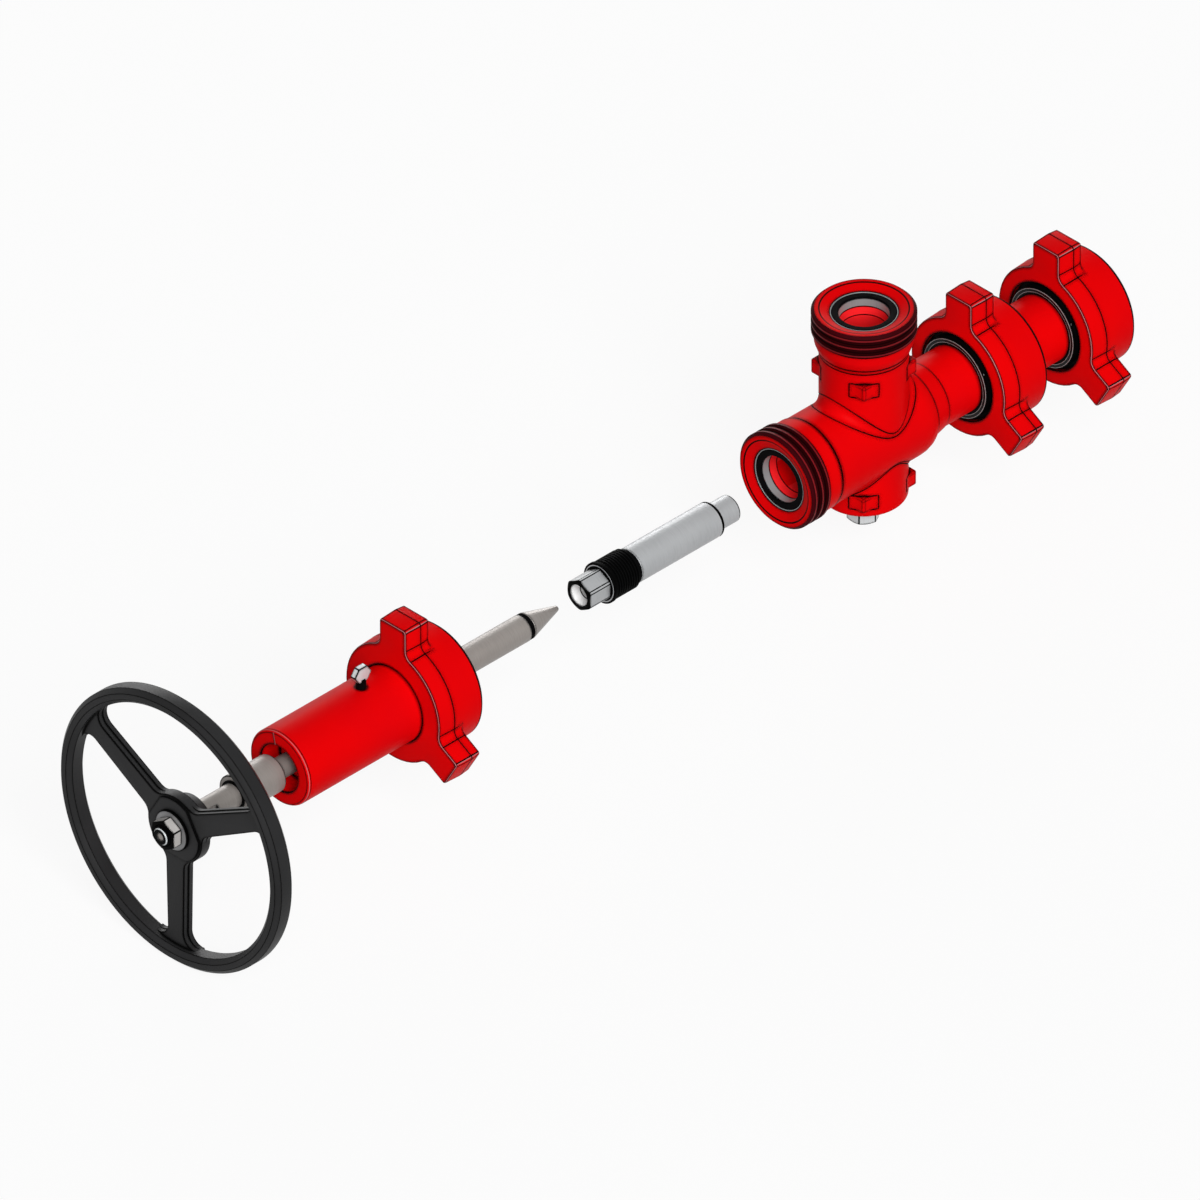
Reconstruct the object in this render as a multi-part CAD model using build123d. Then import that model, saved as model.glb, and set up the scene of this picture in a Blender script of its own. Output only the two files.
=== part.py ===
from build123d import *
import os
from math import radians, sqrt, tan

# Adjustable choke with hammer-union ends, shown pulled apart along its run axis.
# Millimetres. +X runs downstream along the run, +Z up out of the inlet.
# The row origin is on the inlet axis, at the middle of the inlet thread.

# Clearances
RUNNING_FIT = 0.05
PRESS_FIT = 0.02
SEAT_GAP = 0.2
LOOSE_FIT = 0.3

# Flow bores
BORE_R = 21.4
SEAL_BORE_R = 23.5
BORE_ENTRY = 8.0

# Union thread ends, plain over the crests of their three turns of stub ACME thread
THREAD_CREST_R = 49.2
THREAD_LENGTH = 20.14
THREAD_CHAMFER = 2.6
BAND_R = 46.5
SEAT_R = 42.0
SEAT_DEPTH = 4.2

# Union seals
SEAL_R = 31.6
SEAL_LENGTH = 10.0
SEAL_WALL = 1.5
SEAL_BACK = 2.5
SEAL_LIP = 2.2

# Wing nuts
NUT_LENGTH = 60.0
NUT_R = 61.5
NUT_DRAFT = 2.5
NUT_CREASE = 20.0
NUT_THREAD_GAP = 0.7
NUT_SHOULDER_R = 47.2
NUT_RELIEF = 1.0
NUT_LIP = 6.0
NUT_LIP_R = 45.0
NUT_MOUTH = 3.0
LUG_COUNT = 3
LUG_TIP = 88.0
LUG_WIDTH = 35.0
LUG_BACK = 11.0
LUG_DRAFT = 5.0
LUG_ROOT_FILLET = 9.0
LUG_TIP_FILLET = 3.5
NUT_REAR_CHAMFER = 2.5

# Male ends that the wing nuts pull in
NECK_R = 33.9
SHOULDER_R = 44.3
SHOULDER_LENGTH = 8.0
FLANGE_LENGTH = 10.0
SEGMENT_R = 41.2
SEGMENT_STAND = 3.0
SEGMENT_COUNT = 3
SEGMENT_SPLIT = 2.0
SNAP_IN_R = 36.8
SNAP_OUT_R = 40.4
SNAP_DEPTH = 2.5
SNAP_STAND = 0.6
SNAP_SPLIT = 5.0

# Choke body
BONNET_FACE = 115.0
INLET_FACE = 139.0
BAND_END = 43.0
BAND_GROOVE = 2.0
RUN_R = 45.5
BRANCH_R = 41.9
BRANCH_FILLET = 11.0
BOSS_FILLET = 4.0
BOSS_DROP = 69.5
BOSS_CHAMFER = 4.0
BRANCH_BAND = 34.0
BRANCH_TOP = 46.6
SHOULDER_START = 40.0
SHOULDER_END = 59.0
SHOULDER_END_R = 40.5
SHOULDER_ROUND = 38.0
CONE_R = 38.6
NECK_START = 79.0
BLOCK_SIDE = 70.0
BLOCK_HEIGHT = 15.5
BLOCK_UP = 74.0
BLOCK_DOWN = 52.0
BLOCK_FILLET = 1.5
DRAIN_R = 8.0
DRILL_POINT = 3.0

# Bottom plug
PLUG_FLATS = 28.0
PLUG_HEAD = 20.0
PLUG_COLLAR_R = 17.5
PLUG_COLLAR = 4.0
PLUG_SHANK_R = 12.5
PLUG_SHANK = 24.0
PLUG_BEVEL = 2.5
PLUG_SEAL = 2.5
PLUG_SEAL_R = 19.0

# Outlet: where the two outlet wing nuts stand
OUTLET_NUT_X = 123.0
SUB_NUT_X = 238.0
SUB_TAPER = 10.0

# Bonnet
BARREL_R = 38.6
BARREL_LENGTH = 145.7
BARREL_EDGE = 3.5
RECESS_R = 24.0
RECESS_DEPTH = 24.7
DRIVE_LENGTH = 45.0
STEM_CLEAR = 0.2
PACKING_R = 20.0
GLAND_LENGTH = 12.0
PACKING_LENGTH = 22.0
PACKING_RINGS = 3
BACKUP_LENGTH = 4.0
PIN_HOLE_R = 1.6
PIN_HOLE_DEPTH = 5.0
PIN_HOLES = 2
INDEX_WIDTH = 1.6
INDEX_DEPTH = 1.0
INDEX_ANGLE = 12.0

# Lock screw on the barrel, measured back from the bonnet nut's front face
LOCK_BACK = 40.0
LOCK_R = 5.0
LOCK_TIP = 18.0
LOCK_NECK_TOP = 47.0
LOCK_HEAD_WIDE = 21.6
LOCK_HEAD_TALL = 16.0
LOCK_HEAD_THICK = 6.6
LOCK_BEVEL = 5.4
LOCK_HEAD_SINK = 1.5
LOCK_HEAD_CHAMFER = 0.8

# Stem and needle
NEEDLE_TIP_R = 2.5
NEEDLE_LENGTH = 41.0
NEEDLE_SPIGOT_R = 7.0
NEEDLE_SPIGOT = 20.0
NEEDLE_RING = 5.0
NEEDLE_RING_R = 13.2
STEM_R = 13.5
STEM_SMOOTH = 194.0
DRIVE_R = 13.2
DRIVE_THREAD = 95.0
RELIEF_R = 10.5
RELIEF_LENGTH = 29.0
JOURNAL_R = 12.0
CLIP_GROOVE_R = 11.2
CLIP_R = 14.5
CLIP_THICK = 1.5
CLIP_MOUTH = 8.0
COLLAR_R = 19.0
COLLAR_LENGTH = 49.0
WHEEL_CLAMP = 2.0
WRENCH_FLATS = 17.0
WRENCH_LENGTH = 14.0
WRENCH_BACK = 6.0
STEM_END_R = 9.9
STEM_END = 19.0
STEM_END_BEVEL = 2.0

# Handwheel
WHEEL_R = 136.0
RIM_WIDE = 22.0
RIM_DEEP = 15.0
RIM_BEVEL = 4.5
RIM_BED = 3.5
SPOKE_COUNT = 3
SPOKE_ROOT = 25.0
SPOKE_TIP = 19.5
SPOKE_FRONT = 5.5
SPOKE_REAR = 6.0
SPOKE_LEDGE = 2.4
SPOKE_FILLET = 13.0
HUB_R = 35.0
HUB_FRONT = 2.0
HUB_EDGE = 1.5
HUB_BOSS_R = 25.0
HUB_LENGTH = 28.0
HUB_FLATS = 19.0
RIM_SET_FORWARD = 9.5
HUB_TO_COLLAR = 50.0
WASHER_R = 20.7
WASHER_THICK = 3.0
WHEEL_NUT_FLATS = 28.0
WHEEL_NUT_THICK = 10.5
WHEEL_NUT_BEVEL = 1.6

# Bean
BEAN_FLATS = 29.4
BEAN_HEX_LENGTH = 27.0
BEAN_HEX_BEVEL = 2.6
BEAN_EDGE = 1.5
BEAN_COLLAR_R = 20.8
BEAN_COLLAR = 4.0
BEAN_THREAD_R = 20.0
BEAN_THREAD = 31.0
BEAN_THREAD_RELIEF = 4.0
BEAN_RING_R = 17.95
BEAN_RING_BED_R = 15.8
BEAN_RING = 3.5
BEAN_BARREL_R = 17.75
BEAN_BARREL = 107.5
BEAN_NOSE_R = 13.65
BEAN_NOSE = 25.0
BEAN_BORE_R = 9.5
BEAN_MOUTH_R = 10.6
BEAN_THROAT_R = 8.0
LINER_R = 12.5
LINER_LENGTH = 46.0

# Rest places along the run, as the pieces are shown pulled apart
BONNET_NUT_X = -614.0
NEEDLE_TIP_X = -400.0
BEAN_X = -372.0
COLLAR_X = -818.0

# Worked-out places
RUN_Z = THREAD_CHAMFER + THREAD_LENGTH / 2 - INLET_FACE
NUT_BORE_R = THREAD_CREST_R + NUT_THREAD_GAP
SHOULDER_BACK = NUT_LIP + LOOSE_FIT + FLANGE_LENGTH
SHOULDER_FRONT = SHOULDER_BACK + SHOULDER_LENGTH
NOSE_FACE = SHOULDER_FRONT + SEAT_DEPTH
UNION_FACE = SHOULDER_FRONT + SEAT_GAP
NOSE_R = SEAL_R - LOOSE_FIT
BARREL_END_X = BONNET_NUT_X - BARREL_LENGTH
BONNET_NOSE_X = BONNET_NUT_X + NOSE_FACE
NEEDLE_BASE_X = NEEDLE_TIP_X - NEEDLE_LENGTH
DRIVE_FRONT_X = NEEDLE_BASE_X - NEEDLE_RING - STEM_SMOOTH
RELIEF_FRONT_X = DRIVE_FRONT_X - DRIVE_THREAD
JOURNAL_FRONT_X = RELIEF_FRONT_X - RELIEF_LENGTH
HUB_REAR_X = COLLAR_X - HUB_TO_COLLAR
HUB_FRONT_X = HUB_REAR_X - HUB_LENGTH
NEEDLE_SLOPE = (STEM_R - NEEDLE_TIP_R) / NEEDLE_LENGTH

# Closing travel of the stand-in slides, from the rest places to the made-up valve
BONNET_TRAVEL = -BONNET_FACE - UNION_FACE - BONNET_NUT_X
NEEDLE_REACH = (BEAN_MOUTH_R - LOOSE_FIT - NEEDLE_TIP_R) / NEEDLE_SLOPE
BEAN_CLOSED_X = NEEDLE_TIP_X + BONNET_TRAVEL - NEEDLE_REACH
BEAN_TRAVEL = BEAN_CLOSED_X - BEAN_X
THROAT_X = BEAN_CLOSED_X + BEAN_HEX_LENGTH + BEAN_COLLAR + SEAT_GAP
THROAT_LENGTH = BEAN_THREAD + BEAN_THREAD_RELIEF

RUN = Pos(0, 0, RUN_Z)


def turned(points, axis=Axis.X):
    """A solid of revolution. Points are (along the axis, radius)."""
    if axis == Axis.Z:
        points = [(radius, along) for along, radius in points]
    return revolve(Plane.XZ * make_face(Polyline(*points, close=True)), axis)


def ring(start, end, inner, outer):
    return turned([(start, inner), (end, inner), (end, outer), (start, outer)])


def rod(start, end, radius):
    return turned([(start, 0), (end, 0), (end, radius), (start, radius)])


def hex_head(root, tip, flats, bevel, axis=Axis.X):
    """A hexagonal head from root to tip, with its corners bevelled at the tip."""
    corner = flats / sqrt(3)
    back = (root - tip) / abs(root - tip)
    end_on = Plane.YZ if axis == Axis.X else Plane.XY
    prism = extrude(end_on.offset(root) * RegularPolygon(corner, 6), tip - root)
    return prism & turned([(root, 0), (root, corner + bevel),
                           (tip + back * 2 * bevel, corner + bevel),
                           (tip, corner - bevel), (tip, 0)], axis)


def thread_points(face, way):
    """Outline of a union thread, from its end face inwards along way, +1 or -1."""
    first = face + way * THREAD_CHAMFER
    last = first + way * THREAD_LENGTH
    return [(face, BAND_R), (first, THREAD_CREST_R), (last, THREAD_CREST_R),
            (last + way * THREAD_CHAMFER, BAND_R)]


def union_socket(face, way, bore_end, axis=Axis.X):
    """What is cut from a thread end: seat cone, seal pocket and flow bore."""
    seal_front = face + way * SEAT_DEPTH
    seal_back = seal_front + way * SEAL_LENGTH
    bore_start = seal_back + way * BORE_ENTRY
    return turned([(face, 0), (face, SEAT_R),
                   (seal_front, SEAL_R), (seal_back, SEAL_R), (seal_back, SEAL_BORE_R),
                   (bore_start, BORE_R), (bore_end, BORE_R), (bore_end, 0)], axis)


def nose_points(nut_x, neck_r):
    """Outline of a male end, from the neck at the nut's shoulder to the nose face."""
    back = nut_x + SHOULDER_BACK
    front = nut_x + SHOULDER_FRONT
    return [(back, neck_r), (back, SHOULDER_R), (front, SHOULDER_R),
            (front, SEAT_R - LOOSE_FIT), (nut_x + NOSE_FACE, NOSE_R)]


def seal_pieces(face, way, axis=Axis.X):
    """A union seal: a steel channel, and the rubber ring that fills it."""
    front = face + way * SEAT_DEPTH
    back = front + way * SEAL_LENGTH
    floor = back - way * SEAL_BACK
    lip = front + way * SEAL_LIP
    outer = SEAL_R - PRESS_FIT
    hoop = outer - SEAL_WALL
    sleeve = SEAL_BORE_R + SEAL_WALL
    insert = turned([(lip, SEAL_BORE_R), (back, SEAL_BORE_R), (back, outer), (front, outer),
                     (front, hoop), (floor, hoop), (floor, sleeve), (lip, sleeve)], axis)
    rubber = turned([(front, sleeve), (front, hoop), (floor, hoop), (floor, sleeve)], axis)
    return rubber, insert


def lug_outline(radius, tip):
    """The nut seen end on: a disc with the hammer lugs standing out of it."""
    outline = Circle(radius)
    for lug in range(LUG_COUNT):
        turn = Rot(0, 0, lug * 360 / LUG_COUNT)
        outline += turn * Pos(0, tip / 2) * Rectangle(LUG_WIDTH, tip)
    roots = [v for v in outline.vertices() if Vector(v).length < radius + 1]
    outline = fillet(roots, LUG_ROOT_FILLET)
    tips = [v for v in outline.vertices() if Vector(v).length > tip]
    return fillet(tips, LUG_TIP_FILLET)


def wing_nut(lip_r, lip_end):
    """A wing nut from its lip at x = 0 to its open thread end."""
    face = Plane.YZ.offset(NUT_CREASE) * lug_outline(NUT_R, LUG_TIP)
    front = extrude(face, -NUT_CREASE, taper=NUT_DRAFT)
    back = extrude(face, LUG_BACK, taper=LUG_DRAFT)
    rear_r = NUT_R - (NUT_LENGTH - NUT_CREASE) * tan(radians(NUT_DRAFT))
    skirt = turned([(NUT_CREASE, 0), (NUT_LENGTH, 0), (NUT_LENGTH, rear_r - NUT_REAR_CHAMFER),
                    (NUT_LENGTH - NUT_REAR_CHAMFER, rear_r), (NUT_CREASE, NUT_R)])
    relief = SHOULDER_BACK + SEAT_DEPTH
    relief_r = NUT_BORE_R + NUT_RELIEF
    thread_start = NOSE_FACE + LOOSE_FIT
    mouth_x = NUT_LENGTH - NUT_MOUTH
    hollow = turned([(0, 0), (0, lip_r), (lip_end, lip_r), (lip_end, NUT_SHOULDER_R),
                     (relief, NUT_SHOULDER_R), (relief, relief_r),
                     (thread_start, relief_r), (thread_start, NUT_BORE_R),
                     (mouth_x, NUT_BORE_R), (NUT_LENGTH, NUT_BORE_R + NUT_MOUTH / 2),
                     (NUT_LENGTH, 0)])
    return front + back + skirt - hollow


def retainer(nut_x):
    """Split segments between the neck and the nut's lip, and their snap ring."""
    inner = NECK_R + PRESS_FIT
    flange_r = NUT_SHOULDER_R - LOOSE_FIT
    flange_x = nut_x + NUT_LIP + LOOSE_FIT
    back = nut_x + SHOULDER_BACK
    front = nut_x - SEGMENT_STAND
    bed = front + SNAP_DEPTH
    whole = turned([(front, inner), (back, inner), (back, flange_r), (flange_x, flange_r),
                    (flange_x, SEGMENT_R), (front, SEGMENT_R), (front, SNAP_OUT_R),
                    (bed, SNAP_OUT_R), (bed, SNAP_IN_R), (front, SNAP_IN_R)])
    for cut in range(SEGMENT_COUNT):
        saw = Pos(nut_x, 0, LUG_TIP / 2) * Box(LUG_TIP, SEGMENT_SPLIT, LUG_TIP)
        whole -= Rot(60 + cut * 360 / SEGMENT_COUNT, 0, 0) * saw
    snap = ring(front - SNAP_STAND, bed, SNAP_IN_R + PRESS_FIT, SNAP_OUT_R - PRESS_FIT)
    snap -= Pos(nut_x, 0, -LUG_TIP / 2) * Box(LUG_TIP, SNAP_SPLIT, LUG_TIP)
    return whole, snap


def choke_body():
    """The cross: bonnet thread, run, outlet neck, inlet branch and bottom boss."""
    face = -BONNET_FACE
    band_end = face + BAND_END
    arc = RadiusArc((SHOULDER_START, RUN_R), (SHOULDER_END, SHOULDER_END_R), SHOULDER_ROUND)
    ahead = Polyline((face, 0), *thread_points(face, 1), (band_end - BAND_GROOVE, BAND_R),
                     (band_end, RUN_R - BAND_GROOVE), (band_end, RUN_R),
                     (SHOULDER_START, RUN_R))
    nose_x = OUTLET_NUT_X + NOSE_FACE
    behind = Polyline((SHOULDER_END, SHOULDER_END_R), (SHOULDER_END, CONE_R),
                      (NECK_START, NECK_R), *nose_points(OUTLET_NUT_X, NECK_R),
                      (nose_x, 0), (face, 0))
    run = revolve(Plane.XZ * make_face(ahead + arc + behind), Axis.X)
    branch = turned([(0, 0), (0, BRANCH_R), (INLET_FACE - BRANCH_TOP, BRANCH_R),
                     (INLET_FACE - BRANCH_BAND, BAND_R),
                     *reversed(thread_points(INLET_FACE, -1)), (INLET_FACE, 0)], Axis.Z)
    body = run + branch
    corner = [e for e in body.edges() if is_branch_corner(e, 1)]
    body = fillet(corner, BRANCH_FILLET)
    boss = Pos(0, 0, -BOSS_DROP / 2) * Cylinder(BRANCH_R, BOSS_DROP)
    boss = chamfer(boss.edges().sort_by(Axis.Z)[0], BOSS_CHAMFER)
    body += boss
    corner = [e for e in body.edges() if is_branch_corner(e, -1)]
    body = fillet(corner, BOSS_FILLET)
    for height in (BLOCK_UP, -BLOCK_DOWN):
        block = Box(BLOCK_SIDE, BLOCK_SIDE, BLOCK_HEIGHT)
        block = fillet(block.edges().filter_by(Axis.Z), BLOCK_FILLET)
        body += Pos(0, 0, height) * block
    body -= union_socket(face, 1, THROAT_X)
    body -= union_socket(INLET_FACE, -1, 0, Axis.Z)
    thread_end = THROAT_X + THROAT_LENGTH
    barrel_bore = BEAN_RING_R + SEAT_GAP
    body -= turned([(THROAT_X, 0), (THROAT_X, BEAN_THREAD_R + LOOSE_FIT),
                    (thread_end, BEAN_THREAD_R + LOOSE_FIT), (thread_end, barrel_bore),
                    (nose_x, barrel_bore), (nose_x, 0)])
    shank_top = PLUG_SHANK - BOSS_DROP
    body -= turned([(-BOSS_DROP, 0), (-BOSS_DROP, PLUG_SHANK_R + PRESS_FIT),
                    (shank_top, PLUG_SHANK_R + PRESS_FIT), (shank_top + DRILL_POINT, DRAIN_R),
                    (0, DRAIN_R), (0, 0)], Axis.Z)
    return body


def is_branch_corner(edge, side):
    """True for the edges where the branch or boss meets the run."""
    middle = edge @ 0.5
    away = sqrt(middle.X ** 2 + middle.Y ** 2)
    return (edge.geom_type not in (GeomType.LINE, GeomType.CIRCLE)
            and abs(away - BRANCH_R) < 0.5 and middle.Z * side > 0
            and middle.Z * side < RUN_R + 1)


def bottom_plug():
    """Hex plug screwed up into the boss, with its seal under the collar."""
    base = -BOSS_DROP
    collar_top = base - PLUG_SEAL
    collar_end = collar_top - PLUG_COLLAR
    shank_top = base + PLUG_SHANK - LOOSE_FIT
    plug = turned([(shank_top, 0), (shank_top, PLUG_SHANK_R), (collar_top, PLUG_SHANK_R),
                   (collar_top, PLUG_COLLAR_R), (collar_end, PLUG_COLLAR_R),
                   (collar_end, 0)], Axis.Z)
    head = hex_head(collar_end, collar_end - PLUG_HEAD, PLUG_FLATS, PLUG_BEVEL, Axis.Z)
    seal = turned([(base, PLUG_SHANK_R + PRESS_FIT), (base, PLUG_SEAL_R),
                   (collar_top, PLUG_SEAL_R), (collar_top, PLUG_SHANK_R + PRESS_FIT)], Axis.Z)
    return plug + head, seal


def outlet_sub():
    """Pup joint between the two outlet unions: thread end, neck and male nose."""
    face = OUTLET_NUT_X + UNION_FACE
    nose = SUB_NUT_X + NOSE_FACE
    nut_end = OUTLET_NUT_X + NUT_LENGTH
    sub = turned([(face, 0), *thread_points(face, 1), (nut_end, BAND_R),
                  (nut_end + SUB_TAPER, NECK_R), *nose_points(SUB_NUT_X, NECK_R), (nose, 0)])
    return sub - union_socket(face, 1, nose)


def bean():
    """Flow bean: hex end, thread, long barrel and nose, with its liner and O-ring."""
    hex_end = BEAN_X + BEAN_HEX_LENGTH
    thread_start = hex_end + BEAN_COLLAR
    thread_end = thread_start + BEAN_THREAD
    barrel_start = thread_end + BEAN_RING
    barrel_end = barrel_start + BEAN_BARREL
    nose_end = barrel_end + BEAN_NOSE
    head = hex_head(hex_end, BEAN_X, BEAN_FLATS, BEAN_HEX_BEVEL)
    shaft = turned([(hex_end, 0), (hex_end, BEAN_COLLAR_R), (thread_start, BEAN_COLLAR_R),
                    (thread_start, BEAN_THREAD_R), (thread_end - BEAN_EDGE, BEAN_THREAD_R),
                    (thread_end, BEAN_THREAD_R - BEAN_EDGE), (thread_end, BEAN_RING_BED_R),
                    (barrel_start, BEAN_RING_BED_R), (barrel_start, BEAN_BARREL_R),
                    (barrel_end, BEAN_BARREL_R), (barrel_end, BEAN_NOSE_R),
                    (nose_end - BEAN_EDGE, BEAN_NOSE_R), (nose_end, BEAN_NOSE_R - BEAN_EDGE),
                    (nose_end, 0)])
    liner_end = BEAN_X + LINER_LENGTH
    bored = head + shaft
    bored -= turned([(BEAN_X, 0), (BEAN_X, LINER_R + PRESS_FIT), (liner_end, LINER_R + PRESS_FIT),
                     (liner_end, BEAN_BORE_R), (nose_end, BEAN_BORE_R), (nose_end, 0)])
    seat_end = BEAN_X + (BEAN_MOUTH_R - BEAN_THROAT_R) / NEEDLE_SLOPE
    liner = turned([(BEAN_X, BEAN_MOUTH_R), (BEAN_X, LINER_R), (liner_end, LINER_R),
                    (liner_end, BEAN_THROAT_R), (seat_end, BEAN_THROAT_R)])
    o_ring = ring(thread_end, barrel_start, BEAN_RING_BED_R, BEAN_RING_R)
    return bored, liner, o_ring


def bonnet():
    """Barrel with its union nose, packing chamber, drive bore and rear recess."""
    nose = BONNET_NOSE_X
    outer = turned([(BARREL_END_X, 0), (BARREL_END_X, BARREL_R - BARREL_EDGE),
                    (BARREL_END_X + BARREL_EDGE, BARREL_R), *nose_points(BONNET_NUT_X, BARREL_R),
                    (nose, 0)])
    chamber = nose - GLAND_LENGTH - PACKING_LENGTH - BACKUP_LENGTH
    recess = BARREL_END_X + RECESS_DEPTH
    drive_end = recess + DRIVE_LENGTH
    drive_r = DRIVE_R + STEM_CLEAR
    stem_r = STEM_R + STEM_CLEAR
    outer -= turned([(BARREL_END_X, 0), (BARREL_END_X, RECESS_R), (recess, RECESS_R),
                     (recess, drive_r), (drive_end, drive_r), (drive_end, stem_r),
                     (chamber, stem_r), (chamber, PACKING_R), (nose, PACKING_R), (nose, 0)])
    lock = Pos(BONNET_NUT_X - LOCK_BACK, 0, LOCK_NECK_TOP / 2)
    outer -= lock * Cylinder(LOCK_R + RUNNING_FIT, LOCK_NECK_TOP)
    line = Pos(BARREL_END_X, 0, BARREL_R / 2) * Box(2 * INDEX_DEPTH, INDEX_WIDTH, BARREL_R)
    return outer - Rot(-INDEX_ANGLE, 0, 0) * line


def stem_packing():
    """Packing rings, their backup ring and the gland that is screwed in on them."""
    gland_x = BONNET_NOSE_X - GLAND_LENGTH
    packing_x = gland_x - PACKING_LENGTH
    inner = STEM_R + RUNNING_FIT
    outer = PACKING_R - PRESS_FIT
    gland = ring(gland_x, BONNET_NOSE_X, inner, outer)
    middle = (inner + outer) / 2
    for hole in range(PIN_HOLES):
        pin = Pos(BONNET_NOSE_X, 0, middle) * Rot(0, 90, 0) * Cylinder(PIN_HOLE_R, 2 * PIN_HOLE_DEPTH)
        gland -= Rot(90 + hole * 360 / PIN_HOLES, 0, 0) * pin
    backup = ring(packing_x - BACKUP_LENGTH, packing_x, inner, outer)
    step = PACKING_LENGTH / PACKING_RINGS
    starts = [packing_x + number * step for number in range(PACKING_RINGS)]
    rings = [ring(start, start + step - RUNNING_FIT, inner, outer) for start in starts]
    return gland, backup, Compound(children=rings)


def lock_screw():
    """Thumb screw with a flat wing head, and the soft pad that it presses on the stem."""
    neck = turned([(LOCK_TIP, 0), (LOCK_TIP, LOCK_R), (LOCK_NECK_TOP, LOCK_R),
                   (LOCK_NECK_TOP, 0)], Axis.Z)
    half_wide = LOCK_HEAD_WIDE / 2
    half_tall = LOCK_HEAD_TALL / 2
    middle = LOCK_NECK_TOP + half_tall - LOCK_HEAD_SINK
    outline = Polyline((-half_wide, middle), (LOCK_BEVEL - half_wide, middle + half_tall),
                       (half_wide - LOCK_BEVEL, middle + half_tall), (half_wide, middle),
                       (half_wide - LOCK_BEVEL, middle - half_tall),
                       (LOCK_BEVEL - half_wide, middle - half_tall), close=True)
    head = extrude(Plane.XZ * make_face(outline), LOCK_HEAD_THICK / 2, both=True)
    sides = head.edges().group_by(Axis.Y)
    head = chamfer(sides[0] + sides[-1], LOCK_HEAD_CHAMFER)
    pad = turned([(STEM_R + LOOSE_FIT, 0), (STEM_R + LOOSE_FIT, LOCK_R - RUNNING_FIT),
                  (LOCK_TIP, LOCK_R - RUNNING_FIT), (LOCK_TIP, 0)], Axis.Z)
    place = Pos(BONNET_NUT_X - LOCK_BACK, 0, 0)
    return place * (neck + head), place * pad


def stem():
    """Stem from the needle spigot back through drive thread and journal to the wheel end."""
    front = NEEDLE_BASE_X - NEEDLE_RING
    hub_stop = HUB_FRONT_X + WHEEL_CLAMP
    stem_end = hub_stop - STEM_END
    clip = CLIP_THICK + PRESS_FIT
    clips = [COLLAR_X + COLLAR_LENGTH, COLLAR_X - clip]
    body = turned([(front, 0), (front, STEM_R), (DRIVE_FRONT_X, STEM_R), (DRIVE_FRONT_X, DRIVE_R),
                   (RELIEF_FRONT_X, DRIVE_R), (RELIEF_FRONT_X, RELIEF_R),
                   (JOURNAL_FRONT_X, RELIEF_R), (JOURNAL_FRONT_X, JOURNAL_R),
                   (hub_stop, JOURNAL_R), (hub_stop, STEM_END_R),
                   (stem_end + STEM_END_BEVEL, STEM_END_R),
                   (stem_end, STEM_END_R - STEM_END_BEVEL), (stem_end, 0)])
    body -= rod(front - NEEDLE_SPIGOT - LOOSE_FIT, front, NEEDLE_SPIGOT_R + PRESS_FIT)
    for place in clips:
        body -= ring(place, place + clip, CLIP_GROOVE_R, CLIP_R)
    for side in (1, -1):
        drive = Box(HUB_LENGTH, JOURNAL_R, 3 * JOURNAL_R)
        body -= Pos(HUB_REAR_X - HUB_LENGTH / 2, side * (HUB_FLATS + JOURNAL_R) / 2, 0) * drive
        wrench = Box(WRENCH_LENGTH, JOURNAL_R, 3 * JOURNAL_R)
        middle = HUB_REAR_X + WRENCH_BACK + WRENCH_LENGTH / 2
        body -= Pos(middle, side * (WRENCH_FLATS + JOURNAL_R) / 2, 0) * wrench
    gap = PRESS_FIT / 2
    rings = [ring(place + gap, place + gap + CLIP_THICK, CLIP_GROOVE_R, CLIP_R) for place in clips]
    mouth = Pos(COLLAR_X + COLLAR_LENGTH / 2, 0, -CLIP_R)
    mouth *= Box(2 * COLLAR_LENGTH, CLIP_MOUTH, 2 * CLIP_R)
    return body, Compound(children=[clip_ring - mouth for clip_ring in rings])


def needle():
    """Hard needle tip with its spigot in the stem, and the ring behind the cone."""
    base = NEEDLE_BASE_X
    spigot = base - NEEDLE_RING - NEEDLE_SPIGOT
    tip = turned([(spigot, 0), (spigot, NEEDLE_SPIGOT_R), (base, NEEDLE_SPIGOT_R), (base, STEM_R),
                  (NEEDLE_TIP_X, NEEDLE_TIP_R), (NEEDLE_TIP_X, 0)])
    return tip, ring(base - NEEDLE_RING, base, NEEDLE_SPIGOT_R + PRESS_FIT, NEEDLE_RING_R)


def travel_collar():
    """Plain collar carried on the stem journal between two clips."""
    return ring(COLLAR_X, COLLAR_X + COLLAR_LENGTH, JOURNAL_R + RUNNING_FIT, COLLAR_R)


def spokes(extra):
    """The wheel's flat web seen end on: hub disc, tapered spokes and a rim band."""
    inner = WHEEL_R - RIM_DEEP / 2 + RIM_BED
    web = Circle(HUB_R + extra / 2)
    for spoke in range(SPOKE_COUNT):
        outline = Polyline((-(SPOKE_ROOT + extra) / 2, 0), ((SPOKE_ROOT + extra) / 2, 0),
                           ((SPOKE_TIP + extra) / 2, -WHEEL_R),
                           (-(SPOKE_TIP + extra) / 2, -WHEEL_R), close=True)
        web += Rot(0, 0, spoke * 360 / SPOKE_COUNT) * make_face(outline)
    web += Circle(WHEEL_R) - Circle(inner)
    corners = [v for v in web.vertices() if Vector(v).length < (inner + WHEEL_R) / 2]
    return fillet(corners, SPOKE_FILLET)


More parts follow.
